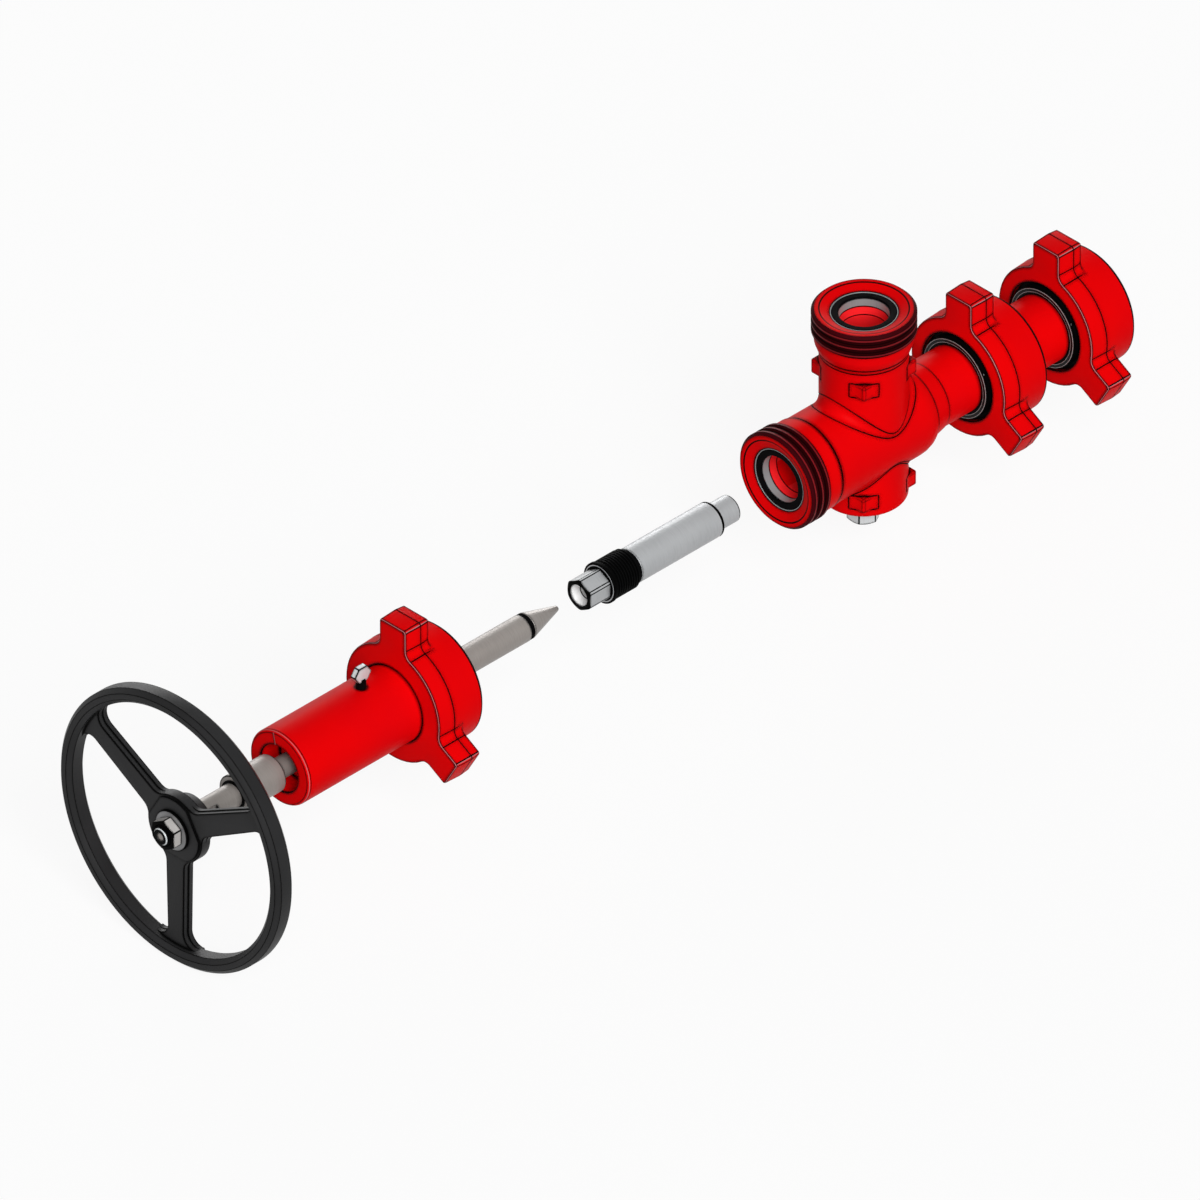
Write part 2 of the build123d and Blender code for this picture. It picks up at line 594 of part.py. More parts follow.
def handwheel():
    """Cast wheel: round rim, stepped spokes, hub disc and rear boss with a drive bore."""
    front = HUB_FRONT_X + HUB_FRONT
    step = front + SPOKE_FRONT
    web = extrude(Plane.YZ.offset(front) * spokes(0), SPOKE_FRONT)
    web += extrude(Plane.YZ.offset(step) * spokes(SPOKE_LEDGE), SPOKE_REAR)
    section = chamfer(Rectangle(RIM_WIDE, RIM_DEEP).vertices(), RIM_BEVEL)
    rim_x = step + SPOKE_REAR - RIM_SET_FORWARD
    rim = revolve(Plane.XZ * Pos(rim_x, WHEEL_R) * section, Axis.X)
    boss = turned([(HUB_FRONT_X, 0), (HUB_FRONT_X, HUB_R - 2 * HUB_EDGE),
                   (front, HUB_R - HUB_EDGE), (step + SPOKE_REAR, HUB_R - HUB_EDGE),
                   (HUB_REAR_X, HUB_BOSS_R), (HUB_REAR_X, 0)])
    bore = rod(HUB_FRONT_X, HUB_REAR_X, JOURNAL_R + RUNNING_FIT)
    flats = Box(HUB_LENGTH, HUB_FLATS + 2 * RUNNING_FIT, 3 * JOURNAL_R)
    return web + rim + boss - (bore & Pos(HUB_REAR_X - HUB_LENGTH / 2, 0, 0) * flats)


def wheel_fasteners():
    """Washer and hex nut that hold the wheel on the stem end."""
    washer_x = HUB_FRONT_X - WASHER_THICK
    nut_x = washer_x - WHEEL_NUT_THICK
    inner = STEM_END_R + PRESS_FIT
    washer = ring(washer_x, HUB_FRONT_X, inner, WASHER_R)
    nut = hex_head(washer_x, nut_x, WHEEL_NUT_FLATS, WHEEL_NUT_BEVEL)
    return washer, nut - rod(nut_x, washer_x, inner)


def build():
    """Every node by name, in the run's own frame."""
    nodes = {"choke_body": choke_body(), "outlet_sub": outlet_sub()}
    inlet_seal = seal_pieces(INLET_FACE, -1, Axis.Z)
    nodes["inlet_seal_ring"], nodes["inlet_seal_insert"] = inlet_seal
    nodes["bonnet_seal_ring"], nodes["bonnet_seal_insert"] = seal_pieces(-BONNET_FACE, 1)
    sub_face = OUTLET_NUT_X + UNION_FACE
    nodes["sub_seal_ring"], nodes["sub_seal_insert"] = seal_pieces(sub_face, 1)
    nodes["bottom_plug"], nodes["plug_seal"] = bottom_plug()
    nodes["outlet_retainer_segments"], nodes["outlet_snap_ring"] = retainer(OUTLET_NUT_X)
    nodes["sub_retainer_segments"], nodes["sub_snap_ring"] = retainer(SUB_NUT_X)
    nodes["outlet_nut"] = Pos(OUTLET_NUT_X, 0, 0) * wing_nut(NUT_LIP_R, NUT_LIP)
    nodes["sub_nut"] = Pos(SUB_NUT_X, 0, 0) * wing_nut(NUT_LIP_R, NUT_LIP)
    bonnet_lip = SHOULDER_BACK - LOOSE_FIT
    nodes["bonnet_nut"] = Pos(BONNET_NUT_X, 0, 0) * wing_nut(BARREL_R + LOOSE_FIT, bonnet_lip)
    nodes["bean"], nodes["bean_liner"], nodes["bean_o_ring"] = bean()
    nodes["bonnet"] = bonnet()
    nodes["packing_gland"], nodes["packing_backup_ring"], nodes["stem_packing"] = stem_packing()
    nodes["lock_screw"], nodes["lock_pad"] = lock_screw()
    nodes["stem"], nodes["collar_clips"] = stem()
    nodes["needle_tip"], nodes["needle_ring"] = needle()
    nodes["travel_collar"] = travel_collar()
    nodes["handwheel"] = handwheel()
    nodes["wheel_washer"], nodes["wheel_nut"] = wheel_fasteners()
    return nodes


os.makedirs("parts", exist_ok=True)
for name, shape in build().items():
    export_step(RUN * shape, f"parts/{name}.step")
print("bonnet travel", round(BONNET_TRAVEL, 3), "bean travel", round(BEAN_TRAVEL, 3))
print("run axis at z", round(RUN_Z, 3))
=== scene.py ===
from math import atan2, ceil, cos, degrees, hypot, pi, radians, sin, sqrt, tan

import bmesh
import bpy
from mathutils import Matrix, Vector

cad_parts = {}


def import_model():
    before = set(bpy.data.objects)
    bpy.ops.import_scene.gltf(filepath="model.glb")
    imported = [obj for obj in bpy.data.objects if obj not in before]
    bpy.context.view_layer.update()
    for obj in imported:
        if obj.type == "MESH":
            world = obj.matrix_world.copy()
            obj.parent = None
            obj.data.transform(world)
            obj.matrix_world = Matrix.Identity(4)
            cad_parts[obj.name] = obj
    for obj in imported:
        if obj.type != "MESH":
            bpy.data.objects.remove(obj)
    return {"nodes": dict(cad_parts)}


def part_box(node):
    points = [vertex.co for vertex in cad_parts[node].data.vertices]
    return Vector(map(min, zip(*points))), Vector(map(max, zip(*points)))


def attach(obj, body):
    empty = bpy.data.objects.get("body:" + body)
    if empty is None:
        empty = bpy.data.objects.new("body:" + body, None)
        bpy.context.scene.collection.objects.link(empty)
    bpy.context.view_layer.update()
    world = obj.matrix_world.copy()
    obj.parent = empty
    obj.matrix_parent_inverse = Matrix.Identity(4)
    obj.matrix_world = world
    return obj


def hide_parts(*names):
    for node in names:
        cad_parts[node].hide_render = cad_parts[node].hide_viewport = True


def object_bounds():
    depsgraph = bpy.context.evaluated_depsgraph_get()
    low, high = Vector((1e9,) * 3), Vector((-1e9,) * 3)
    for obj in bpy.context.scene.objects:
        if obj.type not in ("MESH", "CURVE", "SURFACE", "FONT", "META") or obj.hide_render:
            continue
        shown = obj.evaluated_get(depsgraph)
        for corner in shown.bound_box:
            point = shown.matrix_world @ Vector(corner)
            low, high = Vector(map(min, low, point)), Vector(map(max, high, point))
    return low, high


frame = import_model()
cad_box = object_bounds()

# Outlines below are in millimetres in the run's own frame: X along the run, z = 0 on its axis.
# Places along the run come from the frame.
MM = 0.001
TINY = 1e-6
RUN_Z = sum(corner.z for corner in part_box("outlet_sub")) / 2


def ends(node, axis=0):
    """The low and the high end of a node along an axis of the run's own frame."""
    return [(corner[axis] - (0.0, 0.0, RUN_Z)[axis]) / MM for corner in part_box(node)]


# How far the plug reaches into the boss, and how far the bean moves when it goes in
PLUG_REACH = 23.7
BEAN_TRAVEL = 417.427

BODY_FACE, BODY_NOSE = ends("choke_body")
INLET_FACE = ends("choke_body", 2)[1]
BOSS_BASE = ends("bottom_plug", 2)[1] - PLUG_REACH

# Mesh fineness: segments to a turn, and angles in degrees
ROUGH = 64
COARSE = 96
EVEN = 128
FINE = 192
ROUND_STEP = 15.0
SMOOTH_ANGLE = 32.0

# Union thread
CREST_R = 49.2
ROOT_R = 46.2
BAND_R = 46.5
PITCH = 8.47
CREST = 3.2
CREST_EDGE = 0.75
FLANK = 0.8
THREAD_START = 2.6
THREAD_RIDGES = 3
THREAD_END = 25.34
THREAD_FADE = 0.12
THREAD_SUNK = 0.6
SEAT_R = 42.0
SEAT_DEPTH = 4.2
SEAL_R = 31.6
SEAL_LENGTH = 10.0
SEAL_BORE_R = 23.5
BORE_R = 21.4
BORE_ENTRY = 8.0

# Fine lines cut along the edges of fillets
SCRIBE_R = 0.7


# Outlines

def softened(outline):
    """A closed outline of (a, b) or (a, b, rounding), with its rounded corners as arcs."""
    made = []
    count = len(outline)
    for index, point in enumerate(outline):
        corner = Vector(point[:2])
        if len(point) == 2:
            made.append(tuple(corner))
            continue
        radius = point[2]
        before = (Vector(outline[index - 1][:2]) - corner).normalized()
        after = (Vector(outline[(index + 1) % count][:2]) - corner).normalized()
        half = before.angle(after) / 2
        reach = radius / tan(half)
        centre = corner + (before + after).normalized() * (radius / sin(half))
        first = corner + before * reach - centre
        last = corner + after * reach - centre
        turn = first.angle_signed(last)
        steps = max(2, ceil(abs(degrees(turn)) / ROUND_STEP))
        for step in range(steps + 1):
            spoke = first.copy()
            spoke.rotate(Matrix.Rotation(-turn * step / steps, 2))
            made.append(tuple(centre + spoke))
    return made


def stepped(points, step):
    """The same outline with no run along its first axis longer than step."""
    made = []
    for point, following in zip(points, points[1:] + points[:1]):
        on_axis = point[1] < TINY and following[1] < TINY
        pieces = 1 if on_axis else max(1, ceil(abs(following[0] - point[0]) / step))
        for piece in range(pieces):
            share = piece / pieces
            made.append(tuple(a + (b - a) * share for a, b in zip(point, following)))
    return made


def arc(centre, radius, start, end):
    """Points on a circle from angle start to angle end, in degrees."""
    steps = max(2, ceil(abs(end - start) / (ROUND_STEP / 2)))
    angles = [radians(start + (end - start) * step / steps) for step in range(steps + 1)]
    return [(centre[0] + radius * cos(a), centre[1] + radius * sin(a)) for a in angles]


# Meshes

def in_frame(x, y, z):
    return Vector((x * MM, y * MM, z * MM + RUN_Z))


def placed(name, data):
    made = bpy.data.objects.new(name, data)
    bpy.context.scene.collection.objects.link(made)
    return made


def meshed(name, bm):
    """An object from a bmesh in the frame's metres."""
    mesh = bpy.data.meshes.new(name)
    bm.to_mesh(mesh)
    bm.free()
    return placed(name, mesh)


def band(bm, ring, following):
    """Faces between two rings of as many vertices, or a ring and a single vertex."""
    count = max(len(ring), len(following))
    for index in range(count):
        after = (index + 1) % count
        corners = (ring[index % len(ring)], ring[after % len(ring)],
                   following[after % len(following)], following[index % len(following)])
        bm.faces.new(list(dict.fromkeys(corners)))


def skinned(name, rings, closed=False):
    """A solid through rings of places, each with as many or a single one. In a closed one the
    last ring meets the first, and otherwise both are capped."""
    bm = bmesh.new()
    made = [[bm.verts.new(in_frame(*spot)) for spot in ring] for ring in rings]
    for ring, following in zip(made, made[1:] + made[:1] if closed else made[1:]):
        if len(ring) > 1 or len(following) > 1:
            band(bm, ring, following)
    if not closed:
        for ring in (made[0], made[-1]):
            if len(ring) > 1:
                bm.faces.new(ring)
    bmesh.ops.remove_doubles(bm, verts=bm.verts, dist=TINY)
    bmesh.ops.recalc_face_normals(bm, faces=bm.faces)
    return meshed(name, bm)


def lathe(name, outline, axis="X", segments=EVEN, step=None, at=0.0, hollow=False):
    """A solid of revolution about X, or about Z at a place along X. The outline is (along the
    axis, radius[, rounding]), and the axis completes it unless the solid is hollow."""
    if not hollow:
        outline = [(outline[0][0], 0), *outline, (outline[-1][0], 0)]
    points = softened(outline)
    if step:
        points = stepped(points, step)
    rings = []
    for along, radius in points:
        turns = [2 * pi * index / segments for index in range(segments if radius > TINY else 1)]
        around = [(radius * sin(a), radius * cos(a)) for a in turns]
        if axis == "X":
            rings.append([(along, across, up) for across, up in around])
        else:
            rings.append([(at + up, across, along) for across, up in around])
    return skinned(name, rings, True)


def inward_steps(outline):
    """For each corner of an outline, its move for an inset of one."""
    count = len(outline)
    area = sum(a[0] * b[1] - b[0] * a[1] for a, b in zip(outline, outline[1:] + outline[:1]))
    side = 1 if area > 0 else -1
    made = []
    for index in range(count):
        before = (Vector(outline[index]) - Vector(outline[index - 1])).normalized()
        after = (Vector(outline[(index + 1) % count]) - Vector(outline[index])).normalized()
        along = (before + after).normalized()
        lengthening = max(0.5, along.dot(after))
        made.append(Vector((-along.y, along.x)) * side / lengthening)
    return made


def prism(name, outline, stations, place=None):
    """A solid along X: the outline (y, z), drawn in by the inset of each station (x, inset)."""
    inward = inward_steps(outline)
    rings = [[Vector((x, *(Vector(point) + step * inset))) for point, step in zip(outline, inward)]
             for x, inset in stations]
    if place:
        rings = [[place @ spot for spot in ring] for ring in rings]
    return skinned(name, rings)


def rounded_stations(start, end, front, back=0.0):
    """Stations (x, inset) from start to end, rounded at the front and maybe at the back."""
    turns = [radians(90 * step / 5) for step in range(6)]
    made = [(start + front * (1 - cos(a)), front * (1 - sin(a))) for a in turns]
    if not back:
        return made + [(end, 0.0)]
    return made + [(end - back * (1 - sin(a)), back * (1 - cos(a))) for a in turns]


def combine(base, operation, *others, overlapping=False):
    """Applies a boolean operation to base with each of the others, which are used up."""
    for other in others:
        step = base.modifiers.new("combine", "BOOLEAN")
        step.operation = operation
        step.object = other
        step.solver = "EXACT"
        step.use_self = overlapping
        step.material_mode = "TRANSFER"
    bpy.context.view_layer.update()
    settled = base.evaluated_get(bpy.context.evaluated_depsgraph_get())
    mesh = bpy.data.meshes.new_from_object(settled)
    base.modifiers.clear()
    base.data = mesh
    bm = bmesh.new()
    bm.from_mesh(mesh)
    bmesh.ops.remove_doubles(bm, verts=bm.verts, dist=2 * TINY)
    bmesh.ops.dissolve_degenerate(bm, edges=bm.edges, dist=TINY)
    bm.to_mesh(mesh)
    bm.free()
    for other in others:
        bpy.data.objects.remove(other)
    return base


def cut(base, *tools):
    """Cuts the tools out of base, one after another."""
    for tool in tools:
        combine(base, "DIFFERENCE", tool)


def joined(name, parts, material):
    """One object that holds the meshes of all the parts."""
    bm = bmesh.new()
    for part in parts:
        bm.from_mesh(part.data)
        bpy.data.objects.remove(part)
    made = meshed(name, bm)
    made.data.materials.append(material)
    return made


def helix(middle, turns, pitch, root, crest, crest_width, flank):
    """A thread ridge along X with a trapezoid section, its ends faded out."""
    steps = int(turns * EVEN)
    half = crest_width / 2
    rings = []
    for step in range(steps + 1):
        turn = turns * step / steps
        angle = 2 * pi * turn
        centre = middle + (turn - turns / 2) * pitch
        rise = min(1.0, turn / THREAD_FADE, (turns - turn) / THREAD_FADE)
        top = root + (crest - root) * max(rise, 0.02)
        section = ((-half - flank, root - THREAD_SUNK), (-half, top), (half, top),
                   (half + flank, root - THREAD_SUNK))
        rings.append([(centre + along, radius * sin(angle), radius * cos(angle))
                      for along, radius in section])
    return skinned("ridge", rings)


def recolour_faces(piece, material, chosen):
    """Gives a second material to the faces chosen by their middle and their normal."""
    slots = piece.data.materials
    if material.name not in slots:
        slots.append(material)
    number = slots.find(material.name)
    for face in piece.data.polygons:
        middle = face.center - Vector((0.0, 0.0, RUN_Z))
        if chosen(middle / MM, face.normal):
            face.material_index = number


def ringed(piece, material, rings, axis="X"):
    """Gives a second material to the faces in rings (start, end, inner radius, outer radius)."""
    def inside(at, normal):
        along = at.x if axis == "X" else at.z
        radius = hypot(at.y, at.z if axis == "X" else at.x)
        return any(start < along < end and inner < radius < outer
                   for start, end, inner, outer in rings)
    recolour_faces(piece, material, inside)


def striped(piece, count, corners, material):
    """Gives a second material to a prism's sides that start at the chosen corners."""
    slots = piece.data.materials
    slots.append(material)
    for face in piece.data.polygons:
        if len(face.vertices) == 4 and face.index % count in corners:
            face.material_index = len(slots) - 1


def scribe(path, spread, closed=True):
    """A thin tube along a path, to cut a fine line with. It faces away from the run's axis, or
    from the branch's where spread has no z."""
    rings = []
    last = len(path) - 1
    turns = [pi * corner / 3 for corner in range(6)]
    for index, spot in enumerate(path):
        before = path[index - 1] if closed or index else spot
        after = path[(index + 1) % len(path)] if closed or index < last else spot
        ahead = (after - before).normalized()
        side = ahead.cross(spot * spread).normalized()
        lift = side.cross(ahead)
        rings.append([spot + (side * cos(a) + lift * sin(a)) * SCRIBE_R for a in turns])
    return skinned("scribe", rings, closed)


def finished(piece, material, body, slot, *nodes):
    """Sets a piece's shading, first material and body, and hides the CAD nodes it stands for. Its
    slot is not used.
    """
    mesh = piece.data
    mesh.shade_smooth()
    mesh.set_sharp_from_angle(angle=radians(SMOOTH_ANGLE))
    if mesh.materials:
        mesh.materials[0] = material
    else:
        mesh.materials.append(material)
    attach(piece, body)
    if nodes:
        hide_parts(*nodes)
    return piece


# Materials

class Shader:
    """A small builder for the node tree of a material or a world."""

    def __init__(self, owner):
        self.owner = owner
        owner.use_nodes = True
        self.tree = owner.node_tree
        self.tree.nodes.clear()

    def node(self, kind, **values):
        """A new node, with values for its inputs or its settings."""
        made = self.tree.nodes.new(kind)
        for name, value in values.items():
            if name in made.inputs:
                made.inputs[name].default_value = value
            else:
                setattr(made, name, value)
        return made

    def link(self, source, output, target, socket):
        self.tree.links.new(source.outputs[output], target.inputs[socket])

    def ranged(self, source, output, low, high, start, end):
        """Maps the source from low..high to start..end, clamped."""
        limits = {"From Min": low, "From Max": high, "To Min": start, "To Max": end}
        made = self.node("ShaderNodeMapRange", **limits)
        self.link(source, output, made, "Value")
        return made

    def seen_directly(self, start, end):
        """end for rays from the camera, a reflection or a transparent thing, else start."""
        path = self.node("ShaderNodeLightPath")
        source, output = path, "Is Camera Ray"
        for kind in ("Is Glossy Ray", "Is Transmission Ray"):
            larger = self.node("ShaderNodeMath", operation="MAXIMUM")
            self.link(source, output, larger, 0)
            self.link(path, kind, larger, 1)
            source, output = larger, 0
        return self.ranged(source, output, 0.0, 1.0, start, end)

    def noise(self, scale, detail, stretch=(1.0, 1.0, 1.0)):
        mapping = self.node("ShaderNodeMapping", Scale=stretch)
        self.link(self.node("ShaderNodeTexCoord"), "Object", mapping, "Vector")
        made = self.node("ShaderNodeTexNoise", Scale=scale, Detail=detail)
        self.link(mapping, "Vector", made, "Vector")
        return made

    def mixed(self, factor, first, second):
        """Mixes two colours, each three numbers or another mix, by the Result of a node."""
        made = self.node("ShaderNodeMix", data_type="RGBA")
        self.link(factor, "Result", made, 0)
        for socket, value in ((6, first), (7, second)):
            if isinstance(value, bpy.types.Node):
                self.link(value, 2, made, socket)
            else:
                made.inputs[socket].default_value = (*value, 1.0)
        return made

    def edges(self, radius, start, full):
        """1 on sharp edges and in sharp corners, 0 on smooth faces."""
        bevel = self.node("ShaderNodeBevel", samples=8, Radius=radius * MM)
        dot = self.node("ShaderNodeVectorMath", operation="DOT_PRODUCT")
        self.link(self.node("ShaderNodeNewGeometry"), "Normal", dot, 0)
        self.link(bevel, "Normal", dot, 1)
        return self.ranged(dot, "Value", start, full, 0.0, 1.0)

    def surface(self, colour, grain, height, tone, low, high, specular, metallic=0.0):
        """The finished material, raised by the grain and as rough as the tone says."""
        made = self.node("ShaderNodeBsdfPrincipled", Metallic=metallic)
        made.inputs["Specular IOR Level"].default_value = specular
        self.link(colour, 2, made, "Base Color")
        bump = self.node("ShaderNodeBump", Strength=1.0, Distance=height * MM)
        self.link(grain, "Fac", bump, "Height")
        self.link(bump, "Normal", made, "Normal")
        self.link(self.ranged(tone, "Fac", 0.3, 0.7, low, high), "Result", made, "Roughness")
        self.link(made, "BSDF", self.node("ShaderNodeOutputMaterial"), "Surface")
        return self.owner


def enamel(name, colour, shade, line, roughness, specular, line_width=6.0, ao_painted_shade=True):
    """Painted casting: even gloss paint with a fine orange peel, dark lines along its sharp edges
    and, unless turned off, painted shade in its hollows and inside corners.
    """
    shader = Shader(bpy.data.materials.new(name))
    tone = shader.noise(14.0, 3.0)
    base = shader.mixed(shader.ranged(tone, "Fac", 0.35, 0.65, 0.0, 1.0), colour, shade)
    if ao_painted_shade:
        # Painted shade: ambient occlusion darkens hollows and inside corners towards the line
        # colour.
        corners = shader.node("ShaderNodeAmbientOcclusion", samples=8, Distance=5 * MM)
        base = shader.mixed(shader.ranged(corners, "AO", 0.35, 0.9, 1.0, 0.0), base, line)
    base = shader.mixed(shader.edges(line_width, 0.99, 0.95), base, line)
    peel = shader.noise(900.0, 2.0)
    return shader.surface(base, peel, 0.012, tone, roughness - 0.04, roughness + 0.05, specular)


def grey(value):
    return (value, value, value)


def turned_metal(name, colour, shade, roughness, metallic, line=grey(0.01), line_width=4.0,
                 specular=0.5):
    """Machined metal with fine tool marks round the axis and lines along its edges, dark, or light
    where they are a painted highlight.
    """
    shader = Shader(bpy.data.materials.new(name))
    marks = shader.noise(1400.0, 3.0, (1.0, 0.05, 0.05))
    cloud = shader.noise(26.0, 4.0)
    base = shader.mixed(shader.ranged(marks, "Fac", 0.3, 0.7, 0.0, 0.55), colour, shade)
    base = shader.mixed(shader.ranged(cloud, "Fac", 0.4, 0.75, 0.0, 0.35), base, shade)
    base = shader.mixed(shader.edges(line_width, 0.985, 0.93), base, line)
    low, high = roughness - 0.06, roughness + 0.08
    return shader.surface(base, marks, 0.006, marks, low, high, specular, metallic)


def rubber(name, colour, roughness):
    """Matt moulded rubber with a dusty bloom."""
    shader = Shader(bpy.data.materials.new(name))
    bloom = shader.noise(120.0, 5.0)
    dust = shader.ranged(bloom, "Fac", 0.45, 0.8, 0.0, 0.15)
    base = shader.mixed(dust, colour, (0.012, 0.012, 0.013))
    grain = shader.noise(2200.0, 2.0)
    return shader.surface(base, grain, 0.01, bloom, roughness - 0.08, roughness + 0.08, 0.02)


RED = enamel("red_enamel", (0.86, 0.001, 0.002), (0.8, 0.001, 0.003),
             (0.012, 0.0005, 0.001), 0.4, 0.015)
# Painted highlight: a lighter, pinkish red for the middle of rounded edges, where a gloss highlight
# would fall.
RED_PAINTED_HIGHLIGHT = enamel("red_painted_highlight", (0.55, 0.15, 0.16), (0.46, 0.09, 0.1),
                  (0.3, 0.05, 0.05), 0.4, 0.06, 0.2)
# Painted light: a brighter red, with no painted shade, that lifts the inside of the bores out of
# their shade.
BORE_PAINTED_LIGHT_RED = enamel("bore_enamel_painted_light", (0.97, 0.02, 0.025), (0.92, 0.015, 0.02),
                  (0.05, 0.001, 0.002), 0.4, 0.04, 1.0, False)
LINE = enamel("edge_line", (0.006, 0.001, 0.001), (0.01, 0.001, 0.001),
              (0.003, 0.0005, 0.0005), 0.6, 0.02, 0.2)
# Painted shade: a very dark red for the thread's grooves and flanks.
GROOVE_PAINTED_SHADE_RED = enamel("thread_groove_painted_shade", (0.05, 0.0008, 0.003), (0.038, 0.0005, 0.002),
                    (0.006, 0.0003, 0.0005), 0.6, 0.03, 2.0)
RIDGE_RED = enamel("thread_crest", (0.26, 0.012, 0.016), (0.2, 0.008, 0.012),
                   (0.03, 0.001, 0.002), 0.5, 0.06, 3.0)
BLACK = enamel("black_enamel", (0.0175, 0.0175, 0.018), (0.025, 0.025, 0.026),
               grey(0.0005), 0.45, 0.1, 4.5)
BLACK_LINE = enamel("black_edge_line", grey(0.0006), grey(0.001), grey(0.0005), 0.6, 0.02, 0.2)
STEEL = turned_metal("stem_steel", (0.315, 0.288, 0.268), (0.245, 0.223, 0.204), 0.42, 0.35)
NEEDLE = turned_metal("needle_alloy", (0.31, 0.283, 0.267), (0.23, 0.212, 0.193), 0.34, 0.45)
BEAN_STEEL = turned_metal("bean_steel", (0.45, 0.46, 0.47), (0.36, 0.37, 0.38), 0.38, 0.35)
BRIGHT = turned_metal("bright_plate", (0.74, 0.78, 0.79), (0.64, 0.67, 0.68), 0.34, 0.25)
NUT_STEEL = turned_metal("nut_plate", (0.68, 0.65, 0.63), (0.58, 0.56, 0.54), 0.4, 0.3)
SATIN = turned_metal("satin_plate", (0.235, 0.235, 0.24), (0.185, 0.187, 0.19), 0.42, 0.3)
SEAL_STEEL = turned_metal("seal_steel", (0.36, 0.385, 0.39), (0.3, 0.32, 0.325), 0.42, 0.2,
                          line_width=0.8)
# Painted light: the liner is near white and not metallic, which lifts the inside of the bean's bore
# out of its shade.
CARBIDE_PAINTED_LIGHT = turned_metal("liner_carbide", grey(0.92), grey(0.85), 0.4, 0.0)
BRASS = turned_metal("gland_brass", (0.62, 0.45, 0.2), (0.5, 0.35, 0.15), 0.32, 0.8)
OXIDE = turned_metal("black_oxide", (0.0012, 0.0012, 0.0014), (0.003, 0.003, 0.0035), 0.55, 0.0,
                     grey(0.0005), specular=0.03)
# Painted highlight: light grey lines along the black ring's edges.
SNAP = turned_metal("black_ring_painted_highlight", grey(0.003), grey(0.006), 0.4, 0.1, grey(0.5),
                    line_width=1.1, specular=0.1)
RUBBER = rubber("black_rubber", (0.0012, 0.0012, 0.0014), 0.62)
FLUORO = rubber("white_packing", (0.75, 0.74, 0.7), 0.5)


# Stage: camera, light, floor

PICTURE_WIDTH = 1.104
LENS = 1600.0
SENSOR = 36.0
AIM = in_frame(-342.7, 1.6, -20.5)
AMBIENT = 0.13
FAR_CLIP = 200.0
FLOOR_HALF = 30.0
FLOOR_DROP = 0.0005
FLOOR_BOUNCE = 0.4
FLOOR_GLOW = 0.9


def facing(name, data, towards):
    """A camera or lamp that looks at the object from the side that towards points to."""
    made = placed(name, data)
    made.rotation_mode = "QUATERNION"
    made.rotation_quaternion = (-Vector(towards)).to_track_quat("-Z", "Y")
    return made


def camera():
    data = bpy.data.cameras.new("camera")
    data.lens = LENS
    data.sensor_width = SENSOR
    data.clip_end = FAR_CLIP
    towards = Vector((-1.0, -1.0, 1.0)).normalized()
    made = facing("camera", data, towards)
    made.location = AIM + towards * (PICTURE_WIDTH * LENS / SENSOR)
    bpy.context.scene.camera = made


def sun(name, towards, strength, softness):
    data = bpy.data.lights.new(name, "SUN")
    data.energy = strength
    data.angle = softness
    facing(name, data, towards)


def world():
    made = bpy.data.worlds.new("studio")
    bpy.context.scene.world = made
    shader = Shader(made)
    sky = shader.node("ShaderNodeBackground", Color=(1.0, 1.0, 1.0, 1.0))
    shader.link(shader.seen_directly(AMBIENT, 1.0), "Result", sky, "Strength")
    shader.link(sky, 0, shader.node("ShaderNodeOutputWorld"), "Surface")


def floor():
    """A wide pale floor, mostly white to the camera, which still shows the object's shadow."""
    bm = bmesh.new()
    bmesh.ops.create_grid(bm, x_segments=1, y_segments=1, size=FLOOR_HALF)
    bmesh.ops.translate(bm, verts=bm.verts, vec=(0.0, 0.0, cad_box[0].z - FLOOR_DROP))
    made = meshed("floor", bm)
    shader = Shader(bpy.data.materials.new("pale_floor"))
    made.data.materials.append(shader.owner)
    diffuse = shader.node("ShaderNodeBsdfDiffuse")
    mix = shader.node("ShaderNodeMixShader")
    shader.link(shader.seen_directly(FLOOR_BOUNCE, 1.0), "Result", diffuse, "Color")
    shader.link(shader.seen_directly(0.0, FLOOR_GLOW), "Result", mix, 0)
    shader.link(diffuse, 0, mix, 1)
    shader.link(shader.node("ShaderNodeEmission"), 0, mix, 2)
    shader.link(mix, 0, shader.node("ShaderNodeOutputMaterial"), "Surface")


# Body

BLOCK_HALF = 35.0
BLOCK_HEIGHT = 15.5
PAD_PROUD = 0.5
PAD_TURN = 26.0
BRANCH_R = 41.9
RUN_R = 45.5
NECK_R = 33.9
BRANCH_FILLET = 11.0
BOSS_FILLET = 4.0
FOOT_SINK = 0.15
FOOT_STEPS = 8
WALL_STEPS = 10
STATION = 4.0
BRANCH_BLOCK = 74.0
BOSS_BLOCK = -52.0
OUTWARD = Vector((0.0, 1.0, 1.0))


def union_ridges(face, way):
    """Outline of a union's male thread, from the end face inwards along way, +1 or -1."""
    made = [(face, ROOT_R + 0.4)]
    for ridge in range(THREAD_RIDGES):
        start = face + way * (THREAD_START + ridge * PITCH)
        end = start + way * CREST
        if ridge:
            made.append((start - way * FLANK, ROOT_R))
        shoulder = way * CREST_EDGE
        crest = (start, start + shoulder, end - shoulder, end)
        made += [(along, CREST_R) for along in crest] + [(end + way * FLANK, ROOT_R)]
    return made + [(face + way * THREAD_END, ROOT_R), (face + way * THREAD_END, BAND_R)]


def union_nose(nose, neck_r, rounding):
    """Outline of a union's nose, from the neck behind its shoulder to its tip."""
    return [(nose - 12.2, neck_r, rounding), (nose - 12.2, 44.3, 0.6), (nose - 4.2, 44.3, 0.6),
            (nose - 4.2, 41.7, 0.3), (nose, 31.3, 0.4)]


